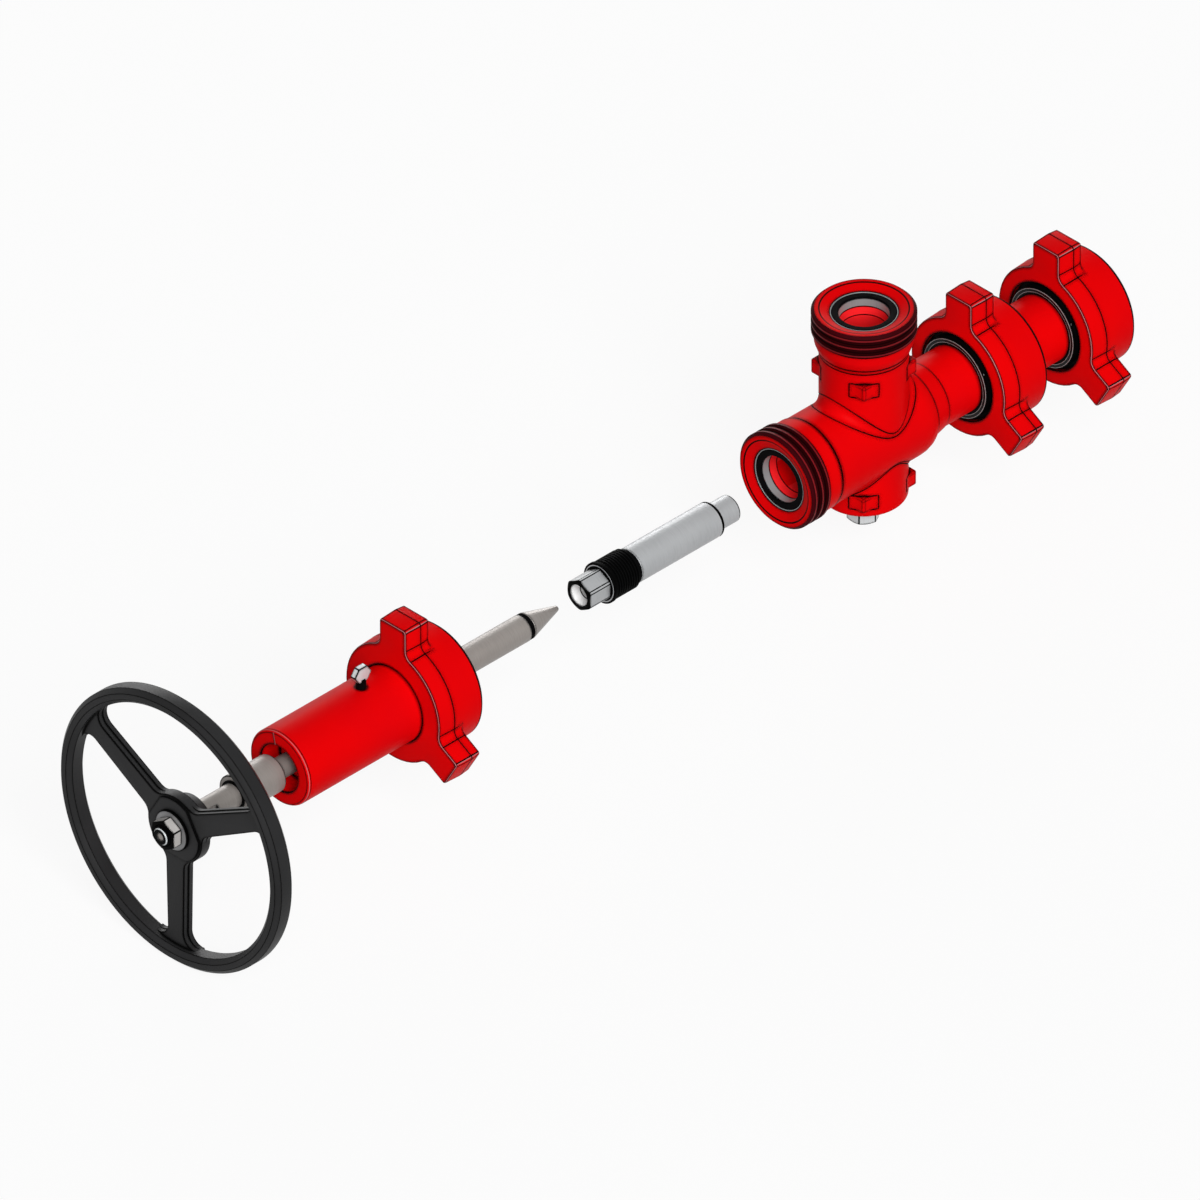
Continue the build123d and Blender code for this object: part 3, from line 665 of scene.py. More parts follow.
def foot(name, radius, fillet, way, head):
    """A stub along Z, above the run or below it (way +1 or -1), which meets it in a rolling-ball
    fillet, and cutters for the lines along the fillet. head is (height, radius) at its end."""
    columns = []
    for index in range(FINE):
        angle = 2 * pi * index / FINE
        out = Vector((cos(angle), sin(angle), 0.0))
        centre = out * (radius + fillet)
        centre.z = sqrt((RUN_R + fillet - FOOT_SINK) ** 2 - centre.y ** 2)
        to_run = Vector((0.0, -centre.y, -centre.z)).normalized()
        axis = (-out).cross(to_run).normalized()
        swing = (-out).angle(to_run)
        spokes = [Matrix.Rotation(swing * step / FOOT_STEPS, 3, axis) @ -out
                  for step in range(FOOT_STEPS + 1)]
        columns.append([centre + spoke * fillet for spoke in spokes])
    levels = []
    for height, reach in head:
        rim = [Vector((c[0].x, c[0].y, 0.0)).normalized() * reach for c in columns]
        levels.append([Vector((spot.x, spot.y, height * way)) for spot in rim])
    wall = head[-1][0] * way
    for level in range(1, WALL_STEPS):
        share = level / WALL_STEPS
        levels.append([Vector((c[0].x, c[0].y, wall + (c[0].z - wall) * share)) for c in columns])
    levels += [[c[step] for c in columns] for step in range(FOOT_STEPS + 1)]
    levels.append([c[-1] * 0.9 for c in columns])
    levels = [[Vector((spot.x, spot.y, spot.z * way)) for spot in level] for level in levels]
    lines = [scribe(levels[edge], OUTWARD) for edge in (-2 - FOOT_STEPS, -2)]
    return skinned(name, levels + [[(0.0, 0.0, 0.0)]]), lines


def block(height):
    """The square rib round the branch or boss: its corners stand out, with low pads beside them."""
    side = BLOCK_HALF
    pad = BRANCH_R + PAD_PROUD
    low = pad * cos(radians(PAD_TURN)), pad * sin(radians(PAD_TURN))
    near = sqrt(pad ** 2 - side ** 2)
    corners = []
    for quarter in range(4):
        turn = Matrix.Rotation(radians(-90 * quarter), 2)
        for spot in (low, (side, near), (side, side, 2.4), (near, side), (low[1], low[0])):
            corners.append((*(Vector(spot[:2]) @ turn), *spot[2:]))
    half = BLOCK_HEIGHT / 2
    stations = rounded_stations(height - half, height + half, 1.8, 1.8)
    return prism("block", softened(corners), stations, Matrix.Rotation(radians(-90), 3, "Y"))


def pad_lines(height):
    """The lines round the four corners of a block and their pads."""
    made = []
    half = BLOCK_HEIGHT / 2
    spread = 45.0 - PAD_TURN
    for quarter in range(4):
        middle = 45.0 + 90.0 * quarter
        turns = [radians(middle + spread * step / 6) for step in range(-6, 7)]
        rim = [(BRANCH_R + 0.1) * Vector((cos(a), sin(a), 0.0)) for a in turns]
        top = [spot + Vector((0.0, 0.0, height + half)) for spot in rim]
        bottom = [spot + Vector((0.0, 0.0, height - half)) for spot in reversed(rim)]
        made.append(scribe(top + bottom, Vector((1.0, 1.0, 0.0))))
    return made


def socket_outline(face, way, end):
    """What is cut from a thread end, with a small lead-in at its mouth."""
    seal = face + way * SEAT_DEPTH
    back = seal + way * SEAL_LENGTH
    entry = back + way * BORE_ENTRY
    return [(face - way * 3, SEAT_R + 0.5), (face, SEAT_R + 0.5), (face + way * 0.5, SEAT_R - 1.0),
            (seal - way * 0.35, SEAL_R + 0.9), (seal, SEAL_R), (back, SEAL_R), (back, SEAL_BORE_R),
            (back + way * 1.0, SEAL_BORE_R - 0.26), (entry - way * 0.2, BORE_R + 0.05),
            (entry, BORE_R), (entry + way * 1.0, BORE_R), (end, BORE_R)]


def marked_socket(piece, face, way, axis="X"):
    """Marks a union's male end: painted light in its bore, painted shade in its thread grooves,
    darker crests, and dark lines round the rings along its edges.
    """
    def mark(material, *places):
        rings = [(*sorted((face + way * start, face + way * end)), inner, outer)
                 for start, end, inner, outer in places]
        ringed(piece, material, rings, axis)
    seal = SEAT_DEPTH
    entry = seal + SEAL_LENGTH
    bore = entry + BORE_ENTRY
    # Painted light inside the bore.
    mark(BORE_PAINTED_LIGHT_RED, (entry, bore + 60.0, BORE_R - 1.5, SEAL_BORE_R + 0.1))
    mark(LINE, (-0.1, 0.6, SEAT_R - 1.1, SEAT_R + 0.6),
         (seal - 0.4, seal + 0.1, SEAL_R - 0.1, SEAL_R + 1.0),
         (entry - 0.1, entry + 1.1, BORE_R, SEAL_BORE_R + 0.1),
         (bore - 0.1, bore + 1.1, BORE_R - 1.0, BORE_R + 0.1))
    # Painted shade in the thread's grooves and on its flanks.
    mark(GROOVE_PAINTED_SHADE_RED, (0.1, THREAD_END + 0.1, ROOT_R - 0.5, CREST_R + 0.2))
    crests = [THREAD_START + CREST_EDGE + ridge * PITCH for ridge in range(THREAD_RIDGES)]
    mark(RIDGE_RED, *((start, start + CREST - 2 * CREST_EDGE, CREST_R - 0.2, CREST_R + 0.2)
                      for start in crests))


def body():
    face, nose, top, base = BODY_FACE, BODY_NOSE, INLET_FACE, BOSS_BASE
    outline = union_ridges(face, 1) + [
        (face + 40.8, BAND_R), (face + 41.2, RUN_R - 2.0), (face + 42.9, RUN_R - 2.0),
        (face + 43.2, RUN_R), (40.0, RUN_R), (47.0, 45.0), (53.5, 43.3), (57.0, 41.6), (57.1, 41.1),
        (58.8, 40.3), (59.0, 38.6), (77.4, 35.0), (77.5, 34.4), (79.0, 34.1), (79.1, NECK_R)]
    outline += union_nose(nose, NECK_R, 1.0)
    head = softened([(top, 0)] + union_ridges(top, -1) + [
        (top - 34.0, BAND_R, 9.0), (top - 40.9, 44.0), (top - 41.1, 43.0), (top - 42.4, 42.9),
        (top - 42.6, 43.4), (top - 45.8, 42.2), (top - 46.0, 41.4), (top - 47.2, 41.3),
        (top - 47.4, BRANCH_R), (top - 50.0, BRANCH_R), (top - 50.0, 0)])
    branch, branch_lines = foot("branch", BRANCH_R, BRANCH_FILLET, 1, head[1:-1])
    cap = softened([(base, 0), (base, BRANCH_R, 5.0), (base + 9.0, BRANCH_R), (base + 9.0, 0)])
    boss, boss_lines = foot("boss", BRANCH_R, BOSS_FILLET, -1, cap[1:-1])
    made = lathe("body", outline, segments=FINE, step=STATION)
    combine(made, "UNION", branch, boss, block(BRANCH_BLOCK), block(BOSS_BLOCK))
    throat = ends("bean")[0] + BEAN_TRAVEL + 31.2
    bore = lathe("bore", socket_outline(face, 1, throat))
    barrel = lathe("barrel", [(throat - 1, 20.3), (throat + 35, 20.3), (throat + 35, 18.15),
                              (nose + 2, 18.15)])
    branch_bore = lathe("bore", socket_outline(top, -1, 0.0), "Z")
    drain = lathe("drain", [(base - 2, 12.55), (base + 24, 12.55), (base + 27, 8.0), (1.0, 8.0)],
                  "Z", ROUGH)
    fillet_lines = joined("lines", branch_lines + boss_lines, LINE)
    block_lines = joined("lines", pad_lines(BRANCH_BLOCK) + pad_lines(BOSS_BLOCK), LINE)
    made.data.materials.append(RED)
    cut(made, bore, barrel, branch_bore, drain, fillet_lines, block_lines)
    finished(made, RED, "valve_body", "body_red", "choke_body")
    ringed(made, LINE, [(face + 40.7, face + 43.3, RUN_R - 3, BAND_R - 0.1),
                        (56.9, 58.9, 39.0, 41.7), (77.3, 79.1, 33.5, 35.1)])
    ringed(made, LINE, [(top - 42.7, top - 40.8, 42.0, 44.0),
                        (top - 47.5, top - 45.7, 40.9, 42.1)], "Z")
    marked_socket(made, face, 1)
    marked_socket(made, top, -1, "Z")


# Wing nuts

NUT_R = 61.5
NUT_LENGTH = 60.0
NUT_CREASE = 20.0
NUT_REAR = 2.5
NUT_REAR_LINE = 1.4
NUT_DRAFT = 2.5
NUT_BORE_R = 49.9
NUT_GROOVE = 1.6
LUG_TIP = 88.0
LUG_HALF = 17.5
LUG_ROOT = 9.0
LUG_TIP_ROUND = 3.5
LUG_COUNT = 3


def lug_outline():
    """The nut seen end on: arcs of its disc, and hammer lugs that flare out of them. With it, the
    indices at which the lugs' root fillets start and end, and of the first at each tip corner."""
    ball = Vector((LUG_HALF + LUG_ROOT, 0.0))
    ball.y = sqrt((NUT_R + LUG_ROOT) ** 2 - ball.x ** 2)
    touch = degrees(atan2(ball.y, ball.x))
    tip = LUG_TIP - LUG_TIP_ROUND
    flank = LUG_HALF - LUG_TIP_ROUND
    right = arc(ball, LUG_ROOT, touch - 180, -180)
    right += [(flank + LUG_TIP_ROUND * cos(radians(a)), tip + LUG_TIP_ROUND * sin(radians(a)))
              for a in (0, 24, 44, 68, 90)]
    left = [(-y, z) for y, z in reversed(right)]
    rest = arc((0.0, 0.0), NUT_R, 180 - touch, touch + 360.0 / LUG_COUNT)[1:-1]
    made = []
    roots = []
    tips = []
    root_end = len(right) - 6
    lug_end = 2 * len(right) - 1
    for lug in range(LUG_COUNT):
        turn = Matrix.Rotation(radians(-lug * 360.0 / LUG_COUNT), 2)
        roots += [len(made) + index for index in (0, root_end, lug_end - root_end, lug_end)]
        tips += [len(made) + index for index in (root_end + 1, root_end + 6)]
        made += [tuple(Vector(point) @ turn) for point in right + left + rest]
    return made, roots, tips


def wing_nut(name, node, lip_r, lip_end):
    """A hammer-union nut, which rides on the body of its own name."""
    x = ends(node)[0]
    crease = x + NUT_CREASE
    end = x + NUT_LENGTH
    outline, roots, tips = lug_outline()
    front = [(x + along, inset + (NUT_CREASE - along) * tan(radians(NUT_DRAFT)))
             for along, inset in [(2.0 * (1 - cos(radians(a))), 2.0 * (1 - sin(radians(a))))
                                  for a in (0, 22.5, 45, 67.5, 90)]]
    groove = [(crease - 0.6, 0.03), (crease, 0.6), (crease + 0.6, 0.05)]
    back = [(crease + along, along * tan(radians(2 * NUT_DRAFT)) + inset)
            for along, inset in ((10.4, 0.0), (11.0, 0.5))]
    nut = prism(name, outline, front + groove + back)
    nut.data.materials.append(RED)
    striped(nut, len(outline), tips + [tip + 3 for tip in tips], LINE)
    # Painted highlight along the front edges of the lugs.
    highlight_sides = [tip + 2 - side for side, tip in zip((1, 0) * LUG_COUNT, tips)]
    striped(nut, len(outline), highlight_sides, RED_PAINTED_HIGHLIGHT)
    rear_r = NUT_R - (NUT_LENGTH - NUT_CREASE) * tan(radians(NUT_DRAFT))
    rear_edge = end - NUT_REAR
    skirt = lathe("skirt", [
        (x + 12, NUT_R - 2), (crease, NUT_R - 0.9), (crease + 0.62, NUT_R + 0.05),
        (rear_edge - NUT_REAR_LINE, rear_r + 0.06), (rear_edge, rear_r), (end, rear_r - NUT_REAR)],
        step=STATION)
    combine(nut, "UNION", skirt)
    steps = inward_steps(outline)
    lines = []
    for index in roots:
        spot, step = Vector(outline[index]), steps[index]
        path = [Vector((along, *(spot + step * inset)))
                for along, inset in (front[-1], groove[0], groove[2], back[-1])]
        lines.append(scribe(path, OUTWARD, False))
    cut(nut, joined("lines", lines, LINE))
    groove_r = NUT_BORE_R + NUT_GROOVE
    bore = [(x - 2, lip_r + 0.8), (x, lip_r + 0.8), (x + 0.8, lip_r), (x + lip_end, lip_r),
            (x + lip_end, 47.2), (x + 20.5, 47.2), (x + 20.5, NUT_BORE_R)]
    for turn in range(4):
        start = x + 24.0 + PITCH * turn
        bore += [(start, NUT_BORE_R), (start + FLANK, groove_r),
                 (start + CREST + FLANK, groove_r), (start + CREST + 2 * FLANK, NUT_BORE_R)]
    bore += [(end - 2.5, NUT_BORE_R), (end, 51.6), (end + 2, 51.6)]
    cut(nut, lathe("bore", bore))
    finished(nut, RED, name, "body_red", node)
    # Painted highlight on the middle of the front rim's rounding.
    recolour_faces(nut, RED_PAINTED_HIGHLIGHT, lambda at, normal: at.x < x + 2.0 and -0.7 < normal.x < -0.45)
    recolour_faces(nut, LINE, lambda at, normal: (
        abs(at.x - x - NUT_CREASE) < 0.62 and abs(normal.x) > 0.3
        or at.x < x + 2.0 and (-0.45 < normal.x < -0.1 or -0.9 < normal.x < -0.7)
        or crease + 10.3 < at.x < crease + 10.9 and hypot(at.y, at.z) > NUT_R + 2.0
        or at.x > rear_edge - NUT_REAR_LINE and hypot(at.y, at.z) > rear_r - NUT_REAR))


# Small lathe pieces

def union_seal(side, face, way, axis):
    """The seal in a thread end: a steel channel and the rubber lip that fills it."""
    front = face + way * SEAT_DEPTH
    back = front + way * SEAL_LENGTH
    mouth = front + way * 2.2
    bottom = back - way * 2.5
    sleeve = SEAL_BORE_R + 1.5
    hoop = SEAL_R - 0.8
    outer = SEAL_R - 0.02
    channel = lathe(side + "_seal_channel", [
        (mouth, SEAL_BORE_R), (back, SEAL_BORE_R), (back, outer), (front, outer, 0.3),
        (front, hoop, 0.3), (bottom, hoop), (bottom, sleeve), (mouth, sleeve)], axis, hollow=True)
    finished(channel, SEAL_STEEL, "valve_body", "seal_steel", side + "_seal_insert")
    lip = lathe(side + "_seal_lip", [
        (front + way * 0.1, SEAL_BORE_R + 1.0, 0.7), (front + way * 0.1, hoop - 0.6, 0.9),
        (front + way * 1.4, hoop), (bottom, hoop), (bottom, sleeve), (mouth, sleeve),
        (mouth, SEAL_BORE_R + 0.1, 0.3)], axis, hollow=True)
    finished(lip, RUBBER, "valve_body", "seal_rubber", side + "_seal_ring")


def hexagon(flats, cut, turn):
    """A hexagon, its corners cut off in three facets."""
    made = []
    for corner in range(6):
        heading = radians(turn + 30 + 60 * corner)
        out = Vector((cos(heading), sin(heading)))
        side = Vector((-out.y, out.x)) * cut * sqrt(3) / 2
        for share, drop in ((-1.0, 0.5), (-0.45, 0.35), (0.45, 0.35), (1.0, 0.5)):
            made.append(tuple(out * (flats / sqrt(3) - drop * cut) + side * share))
    return made


def outlet_sub():
    face, nose = ends("outlet_sub")
    outline = [(face + SEAT_DEPTH, SEAL_R), (face, SEAT_R)] + union_ridges(face, 1)
    outline += [(face + 35.5, BAND_R, 2.0), (face + 45.5, NECK_R, 6.0)]
    outline += union_nose(nose, NECK_R, 1.0) + [
        (nose, BORE_R, 0.8), (face + 22.2, BORE_R), (face + 14.2, SEAL_BORE_R),
        (face + 14.2, SEAL_R)]
    sub = lathe("outlet_pup", outline, segments=FINE, hollow=True)
    finished(sub, RED, "valve_body", "body_red", "outlet_sub")
    marked_socket(sub, face, 1)


def bonnet():
    rear, nose = ends("bonnet")
    outline = [(rear, 38.6, 3.5)] + union_nose(nose, 38.6, 0.6)
    outer = lathe("bonnet_barrel", outline, segments=FINE, step=12.0)
    bore = lathe("bore", [
        (rear - 2, 24.8), (rear, 24.8), (rear + 0.8, 24.0), (rear + 24.7, 24.0),
        (rear + 24.7, 13.4), (rear + 69.7, 13.4), (rear + 69.7, 13.7), (nose - 38, 13.7),
        (nose - 38, 20.0), (nose + 2, 20.0)])
    hole = lathe("hole", [(16.0, 5.05), (38.2, 5.05), (39.0, 5.8), (48.0, 5.8)], "Z", 48,
                 at=sum(ends("lock_screw")) / 2)
    line = prism("line", softened([(-1.0, 10.0), (1.0, 10.0), (1.0, 44.0), (-1.0, 44.0)]),
                 [(rear - 2, 0.0), (rear + 0.5, 0.0)], Matrix.Rotation(radians(-12), 3, "X"))
    cut(outer, bore, hole, line)
    finished(outer, RED, "bonnet_assembly", "body_red", "bonnet")
    # Painted highlight on the rear rim's rounding and on the floor of the index line.
    recolour_faces(outer, RED_PAINTED_HIGHLIGHT, lambda at, normal: (
        at.x < rear + 3.5 and -0.7 < normal.x < -0.5 and hypot(at.y, at.z) > 34.0
        or rear + 0.4 < at.x < rear + 0.6 and normal.x < -0.9))
    recolour_faces(outer, LINE, lambda at, normal: (
        at.x < rear + 0.5 and abs(normal.x) < 0.1 and 25.0 < hypot(at.y, at.z) < 38.0
        or at.x < rear + 3.5 and hypot(at.y, at.z) > 34.0
        and (-0.95 < normal.x < -0.85 or -0.3 < normal.x < -0.05)
        or at.x < rear + 0.9 and hypot(at.y, at.z) < 24.9))


def stem():
    rear, front = ends("stem")
    drive = front - 194.0
    thread_end = drive - 95.0
    journal = thread_end - 29.0
    hub_stop = rear + 19.0
    hub_rear = ends("handwheel")[1]
    shaft = lathe("stem_shaft", [
        (front, 13.5, 0.5), (drive, 13.5, 0.6), (drive - 1.2, 12.0), (thread_end + 1.2, 12.0),
        (thread_end, 10.5), (journal, 10.5, 0.8), (journal, 12.0, 0.6), (hub_stop, 12.0, 0.5),
        (hub_stop, 9.2), (rear + 1.8, 9.2), (rear + 1.1, 8.6), (rear + 0.2, 7.8), (rear, 7.6),
        (rear, 4.4), (rear + 1.2, 4.2)], segments=COARSE)
    ridge = helix((drive + thread_end) / 2, 14.4, 6.35, 12.0, 13.2, 2.4, 0.5)
    end_ridge = helix((hub_stop + rear) / 2, 7.6, 2.0, 9.2, 9.9, 0.5, 0.5)
    combine(shaft, "UNION", ridge, end_ridge)
    flats = []
    for side in (1, -1):
        for start, end, across in ((hub_rear + 6.0, hub_rear + 20.0, 8.5),
                                   (hub_stop - 0.4, hub_rear, 9.5)):
            away, near = side * 20.0, side * across
            outline = [(near, -20.0), (away, -20.0), (away, 20.0), (near, 20.0)]
            flats.append(prism("flat", outline, [(start, 0.0), (end, 0.0)]))
            flats[-1].data.materials.append(STEEL)
            recolour_faces(flats[-1], BLACK_LINE, lambda at, normal: abs(normal.x) > 0.9)
    shaft.data.materials.append(STEEL)
    combine(shaft, "DIFFERENCE", *flats)
    finished(shaft, STEEL, "stem_assembly", "stem_steel", "stem")
    recolour_faces(shaft, OXIDE, lambda at, normal: (
        at.x < rear + 1.0 and 4.3 < hypot(at.y, at.z) < 7.9
        or rear + 1.1 < at.x < hub_stop and hypot(at.y, at.z) > 8.5))
    recolour_faces(shaft, BRIGHT, lambda at, normal: (
        at.x < rear + 1.1 and 7.6 < hypot(at.y, at.z) < 8.8 and normal.x < -0.3))


def needle():
    tip = ends("needle_tip")[1]
    base = tip - 41.0
    cone = lathe("needle_cone", [
        (base - 25.0, 7.0, 0.5), (base, 7.0), (base, 13.5, 0.8), (tip, 2.5, 1.6)],
        segments=COARSE)
    finished(cone, NEEDLE, "stem_assembly", "needle_hard", "needle_tip")
    cushion = lathe("needle_collar_ring", [
        (base - 5.0, 7.02), (base, 7.02), (base, 13.2, 0.6), (base - 1.7, 13.2, 0.3),
        (base - 2.5, 12.4, 0.3), (base - 3.3, 13.2, 0.3), (base - 5.0, 13.2, 0.6)],
        segments=COARSE, hollow=True)
    finished(cushion, RUBBER, "stem_assembly", "seal_rubber", "needle_ring")


def collar():
    low, high = ends("travel_collar")
    outline = [(low, 12.05), (low, 19.0, 0.9), (high, 19.0, 0.9), (high, 12.05)]
    made = lathe("stem_collar", outline, segments=COARSE, hollow=True)
    finished(made, STEEL, "collar_slider", "stem_steel", "travel_collar")
    edges = ((low - 0.1, low + 1.0), (high - 1.0, high + 0.1))
    ringed(made, BLACK_LINE, [(*edge, 18.0, 19.1) for edge in edges])


def hex_prism(name, low, high, flats, bevels, material, cut, facets, axis="X", turn=0.0):
    """A hexagon with turned bevels at its ends. The chosen facets of each corner are dark."""
    bevel_low, bevel_high = bevels
    corner = flats / sqrt(3)
    place = Matrix.Rotation(radians(-90), 3, "Y") if axis == "Z" else None
    outline = hexagon(flats, cut, turn)
    made = prism(name, outline, [(low, 0.0), (high - 0.8, 0.0), (high, 0.0)], place)
    made.data.materials.append(material)
    striped(made, len(outline), [4 * k + facet for k in range(6) for facet in facets], BLACK_LINE)
    outer = corner + 2.0
    cutter = lathe("cutter", [
        (low - 2, corner - bevel_low), (low, corner - bevel_low), (low + bevel_low, outer),
        (high - bevel_high, outer), (high, corner - bevel_high),
        (high + 2, corner - bevel_high)], axis, COARSE)
    return combine(made, "INTERSECT", cutter)


def wheel_fasteners():
    low, high = ends("wheel_washer")
    washer = lathe("plain_washer", [
        (low, 9.95, 0.3), (low, 19.8), (low, 20.7, 0.5), (high, 20.7, 0.5), (high, 9.95, 0.3)],
        segments=COARSE, hollow=True)
    finished(washer, SATIN, "stem_assembly", "retainer_steel", "wheel_washer")
    ringed(washer, BLACK_LINE, [(low - 0.1, high + 0.1, 19.9, 20.8)])
    low, high = ends("wheel_nut")
    nut = hex_prism("hex_nut", low, high, 28.0, (2.2, 1.2), NUT_STEEL, 0.9, (0, 1, 2))
    cut(nut, lathe("bore", [
        (low - 1, 11.2), (low, 11.2), (low + 1.2, 9.95), (high - 1.2, 9.95), (high, 11.2),
        (high + 1, 11.2)], segments=ROUGH))
    finished(nut, NUT_STEEL, "stem_assembly", "stem_steel", "wheel_nut")
    recolour_faces(nut, BLACK_LINE, lambda at, normal: normal.x < -0.3 or at.x > high - 0.8)


def bean():
    start, end = ends("bean")
    hex_end = start + 27.0
    thread = hex_end + 4.0
    thread_end = thread + 31.0
    barrel = thread_end + 3.5
    nose = barrel + 107.5
    shaft = lathe("bean_barrel", [
        (hex_end - 1.0, 14.0), (hex_end, 14.0), (hex_end, 17.7), (hex_end, 18.7),
        (hex_end, 20.8, 0.8), (thread, 20.8, 0.6), (thread, 18.6), (thread_end, 18.6),
        (thread_end, 15.8), (barrel, 15.8), (barrel, 17.75, 0.8), (nose - 3.4, 17.75),
        (nose, 17.75, 1.4), (nose, 13.65), (nose + 1.6, 13.65), (end - 1.9, 13.65),
        (end, 13.65, 1.8)])
    shaft.data.materials.append(BEAN_STEEL)
    head = hex_prism("head", start, hex_end, 29.4, (2.4, 0.0), BEAN_STEEL, 2.2, (0, 2))
    combine(shaft, "UNION", head)
    cut(shaft, lathe("bore", [
        (start - 1, 12.52), (start + 46.0, 12.52), (start + 46.0, 9.5), (end - 1.0, 9.5),
        (end, 10.6), (end + 1, 10.6)], segments=COARSE))
    finished(shaft, BEAN_STEEL, "bean_assembly", "bean_steel", "bean")
    recolour_faces(shaft, BLACK_LINE, lambda at, normal: (
        at.x < start + 2.0 and normal.x < -0.3
        or hex_end - 0.1 < at.x < thread + 0.1 and not 17.7 < hypot(at.y, at.z) < 18.7))
    ringed(shaft, BLACK_LINE, [(nose - 3.5, nose + 1.7, 13.0, 18.0),
                               (end - 1.9, end + 0.1, 10.0, 14.0)])
    sleeve = lathe("bean_thread", [
        (thread + 0.3, 18.5), (thread_end - 0.2, 18.5), (thread_end - 0.2, 18.9),
        (thread + 0.3, 18.9)], segments=COARSE, hollow=True)
    ridge = helix((thread + thread_end) / 2, 9.2, 3.1, 18.7, 20.0, 0.9, 0.9)
    finished(combine(sleeve, "UNION", ridge), OXIDE, "bean_assembly", "snap_black")
    liner = lathe("seat_liner", [
        (start, 12.5), (start, 11.0), (start + 9.3, 8.0), (start + 10.6, 8.0), (start + 46.0, 8.0),
        (start + 46.0, 12.5)], segments=COARSE, hollow=True)
    finished(liner, CARBIDE_PAINTED_LIGHT, "bean_assembly", "liner_carbide", "bean_liner")
    recolour_faces(liner, BLACK_LINE, lambda at, normal: normal.x < -0.9 and at.x < start + 0.1)
    ringed(liner, BLACK_LINE, [(start + 9.3, start + 10.6, 7.5, 8.1)])
    ring = lathe("barrel_o_ring", [
        (thread_end, 15.85), (thread_end, 17.95, 1.6), (barrel, 17.95, 1.6), (barrel, 15.85)],
        segments=COARSE, hollow=True)
    finished(ring, RUBBER, "bean_assembly", "seal_rubber", "bean_o_ring")


def plug():
    low, top = ends("bottom_plug", 2)
    collar_end = low + 20.0
    collar_top = collar_end + 4.0
    shank = lathe("hex_plug", [
        (collar_end - 1, 10.0), (collar_end, 10.0), (collar_end, 17.5, 0.6),
        (collar_top, 17.5, 0.6), (collar_top, 12.5), (top, 12.5, 1.0)], "Z", COARSE)
    shank.data.materials.append(BRIGHT)
    head = hex_prism("head", low, collar_end, 28.0, (2.5, 0.0), BRIGHT, 0.9, (0, 1, 2), "Z", 30.0)
    combine(shank, "UNION", head)
    finished(shank, BRIGHT, "valve_body", "plug_steel", "bottom_plug")
    recolour_faces(shank, BLACK_LINE, lambda at, normal: normal.z < -0.3)


def thumb_screw():
    low, top = ends("lock_screw", 2)
    x = sum(ends("lock_screw")) / 2
    shank = lathe("thumb_screw_neck", [
        (low, 5.0, 0.6), (top - 15.4, 5.0), (top - 15.4, 4.2), (top - 13.0, 4.2)],
        "Z", ROUGH, at=x)
    wide, tall, bevel = 10.8, 8.0, 5.4
    corners = ((-wide, 0), (bevel - wide, tall), (wide - bevel, tall), (wide, 0),
               (wide - bevel, -tall), (bevel - wide, -tall))
    outline = softened([(*corner, 1.6) for corner in corners])
    place = Matrix.Rotation(radians(90), 3, "Z")
    head = prism("thumb_head", outline, rounded_stations(-3.3, 3.3, 0.9, 0.9), place)
    head.data.transform(Matrix.Translation((x * MM, 0.0, (top - tall) * MM)))
    finished(head, BRIGHT, "thumb_screw", "plug_steel", "lock_screw")
    sides = (-146.0, -90.0, -34.0, 34.0, 90.0, 146.0)
    recolour_faces(head, BLACK_LINE, lambda at, normal: (
        0.12 < abs(normal.y) < 0.97 or abs(normal.y) < 0.1
        and min(abs(degrees(atan2(normal.z, normal.x)) - side) for side in sides) > 6.0))
    finished(shank, OXIDE, "thumb_screw", "snap_black")


# Handwheel

RIM_R = 136.0
RIM_WIDE = 22.0
RIM_DEEP = 15.0
RIM_BEVEL = 4.5
HUB_R = 35.0
SPOKE_FILLET = 13.0
PLATE_R = 33.0
PLATE_FLAT = 29.0
KEYED_R = 12.05


def spoke_outline(extra):
    """One spoke seen end on, flared by fillets into the hub and the rim, pointing to -z."""
    root, tip = (25.0 + extra) / 2, (19.5 + extra) / 2
    inner = RIM_R - RIM_DEEP / 2
    lean = (tip - root) / RIM_R
    along = Vector((lean, 1.0)).normalized()
    away = Vector((along.y, -along.x))
    start = Vector((root, 0.0)) + away * SPOKE_FILLET
    right = []
    for circle, outside in ((HUB_R, 1), (inner, -1)):
        reach = circle + outside * SPOKE_FILLET
        dot = start.dot(along)
        travel = -dot + sqrt(dot ** 2 - start.length_squared + reach ** 2)
        centre = start + along * travel
        on_side = degrees(atan2(-away.y, -away.x)) % 360
        on_circle = degrees(atan2(-outside * centre.y, -outside * centre.x)) % 360
        fillet = arc(centre, SPOKE_FILLET, on_circle, on_side)
        right += fillet if outside == 1 else list(reversed(fillet))
    outer = Vector(right[-1]).normalized() * (RIM_R - 2.0)
    right = [(right[0][0] * 0.7, right[0][1] * 0.7)] + right + [tuple(outer)]
    return [(y, -z) for y, z in right] + [(-y, -z) for y, z in reversed(right)]


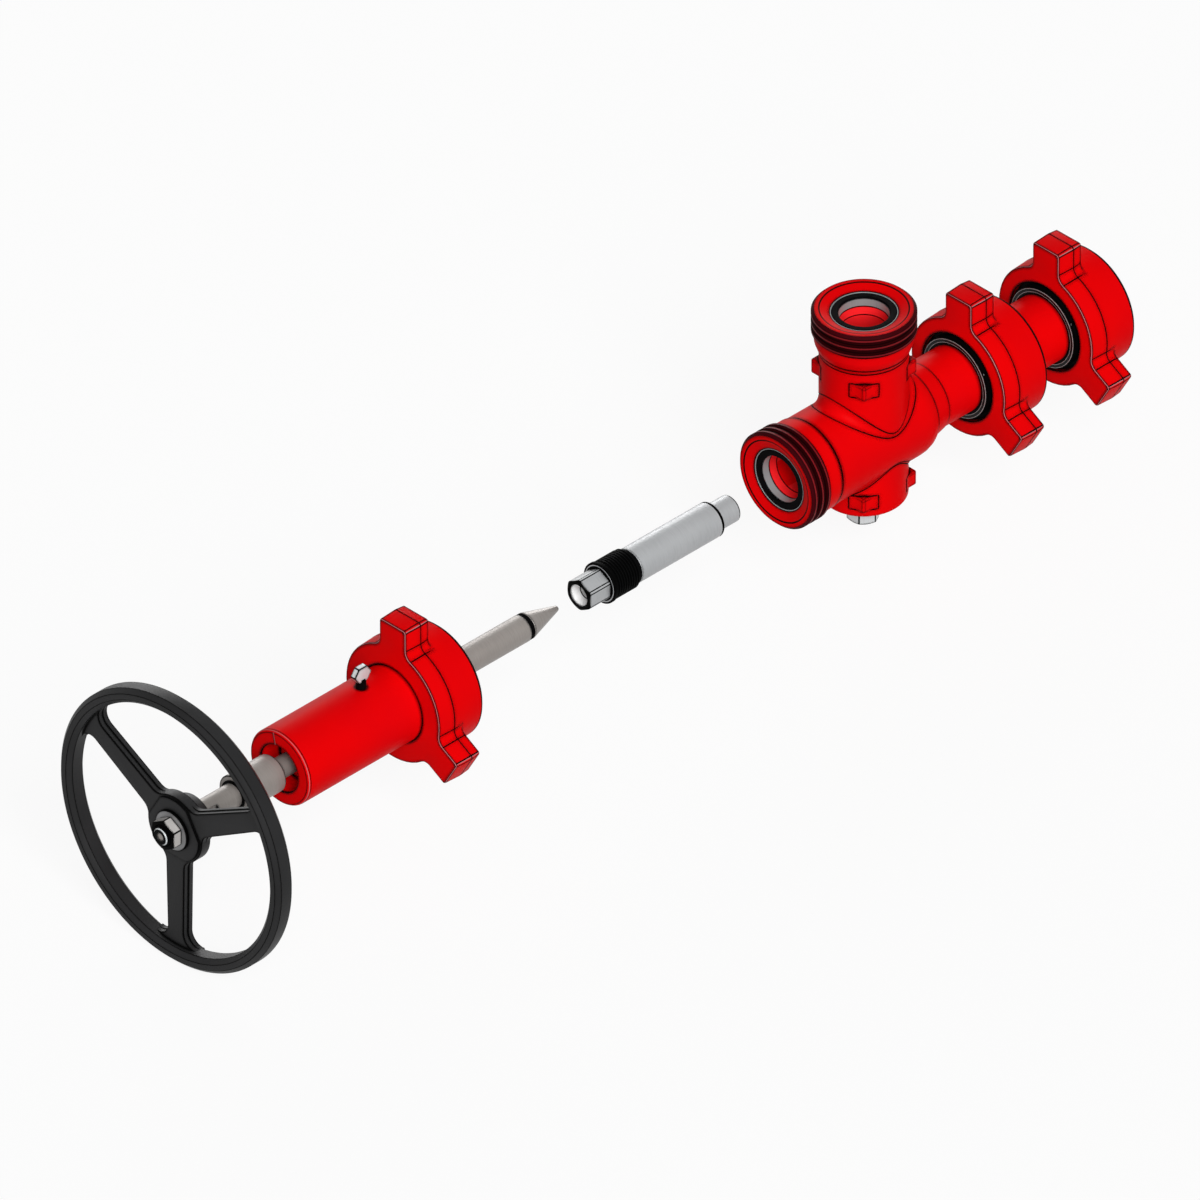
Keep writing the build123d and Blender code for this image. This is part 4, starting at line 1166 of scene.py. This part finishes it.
def handwheel():
    low, hub_rear = ends("handwheel")
    hub_front = ends("wheel_washer")[0] + 3.0
    front = hub_front + 2.0
    step = front + 5.5
    rear = step + 6.0
    wide, deep = RIM_WIDE / 2, RIM_DEEP / 2
    rim_x = low + wide
    flat_wide, flat_deep = wide - RIM_BEVEL, deep - RIM_BEVEL
    section = ((-wide, -flat_deep), (-flat_wide, -deep), (flat_wide, -deep), (wide, -flat_deep),
               (wide, flat_deep), (flat_wide, deep), (-flat_wide, deep), (-wide, flat_deep))
    rim = lathe("hand_wheel", [(rim_x + along, RIM_R + out, 1.5) for along, out in section],
                segments=FINE, hollow=True)
    rim.data.materials.append(BLACK)

    def on_rim_corner(at, normal):
        out = Vector((at.y, at.z)).normalized().dot(Vector((normal.y, normal.z)))
        return 7.0 < degrees(atan2(normal.x, out)) % 45.0 < 38.0
    recolour_faces(rim, BLACK_LINE, on_rim_corner)
    parts = []
    for spoke in range(3):
        turn = Matrix.Rotation(radians(120 * spoke), 3, "X")
        for extra, stations in ((0.0, rounded_stations(front, step + 0.5, 1.2)),
                                (2.4, rounded_stations(step, rear, 0.8, 1.2))):
            parts.append(prism("spoke", spoke_outline(extra), stations, turn))
    parts.append(lathe("hub", [
        (front, HUB_R, 1.0), (rear, HUB_R, 1.2), (rear + 4, HUB_R - 7, 2.0),
        (hub_rear, 25.0, 2.0)], segments=FINE))
    half = degrees(atan2(sqrt(PLATE_R ** 2 - PLATE_FLAT ** 2), PLATE_FLAT))
    plate = []
    for spoke in range(3):
        heading = 270 + 120 * spoke
        plate += arc((0.0, 0.0), PLATE_R, heading + half, heading + 120 - half)
    parts.append(prism("plate", plate, rounded_stations(hub_front, front + 1.0, 1.0)))
    bulk = joined("bulk", parts, BLACK)
    recolour_faces(bulk, BLACK_LINE, lambda at, normal: 0.15 < abs(normal.x) < 0.97 and not (
        hypot(at.y, at.z) < HUB_R - 2.0 and at.x > rear))
    combine(rim, "UNION", bulk, overlapping=True)
    bore = arc((0.0, 0.0), KEYED_R, 52.2, 127.8) + arc((0.0, 0.0), KEYED_R, 232.2, 307.8)
    cut(rim, prism("hole", bore, [(hub_front - 2, 0.0), (hub_rear + 2, 0.0)]))
    finished(rim, BLACK, "stem_assembly", "wheel_black", "handwheel")


# Assembly

# CAD nodes shown as they are, with a finish of their own
KEPT = {
    "outlet_retainer_segments": OXIDE, "sub_retainer_segments": OXIDE,
    "outlet_snap_ring": SNAP, "sub_snap_ring": SNAP, "collar_clips": OXIDE,
    "sub_seal_ring": RUBBER, "sub_seal_insert": SEAL_STEEL, "plug_seal": RUBBER,
    "packing_gland": BRASS, "packing_backup_ring": BRASS, "stem_packing": FLUORO,
    "lock_pad": BRASS,
}

camera()
world()
sun("key", (-0.6, -1.0, 0.8), 2.8, 0.6)
sun("back", (1.0, 1.0, 0.1), 1.9, 0.8)
floor()

body()
wing_nut("outlet_wing_nut", "outlet_nut", 45.0, 6.0)
wing_nut("sub_wing_nut", "sub_nut", 45.0, 6.0)
wing_nut("bonnet_wing_nut", "bonnet_nut", 38.9, 16.0)
outlet_sub()
bonnet()
stem()
needle()
collar()
wheel_fasteners()
bean()
plug()
thumb_screw()
handwheel()
union_seal("inlet", INLET_FACE, -1, "Z")
union_seal("bonnet", BODY_FACE, 1, "X")
for name, material in KEPT.items():
    node = frame["nodes"][name]
    node.data.materials.clear()
    node.data.materials.append(material)

bpy.context.scene.view_settings.view_transform = "Standard"
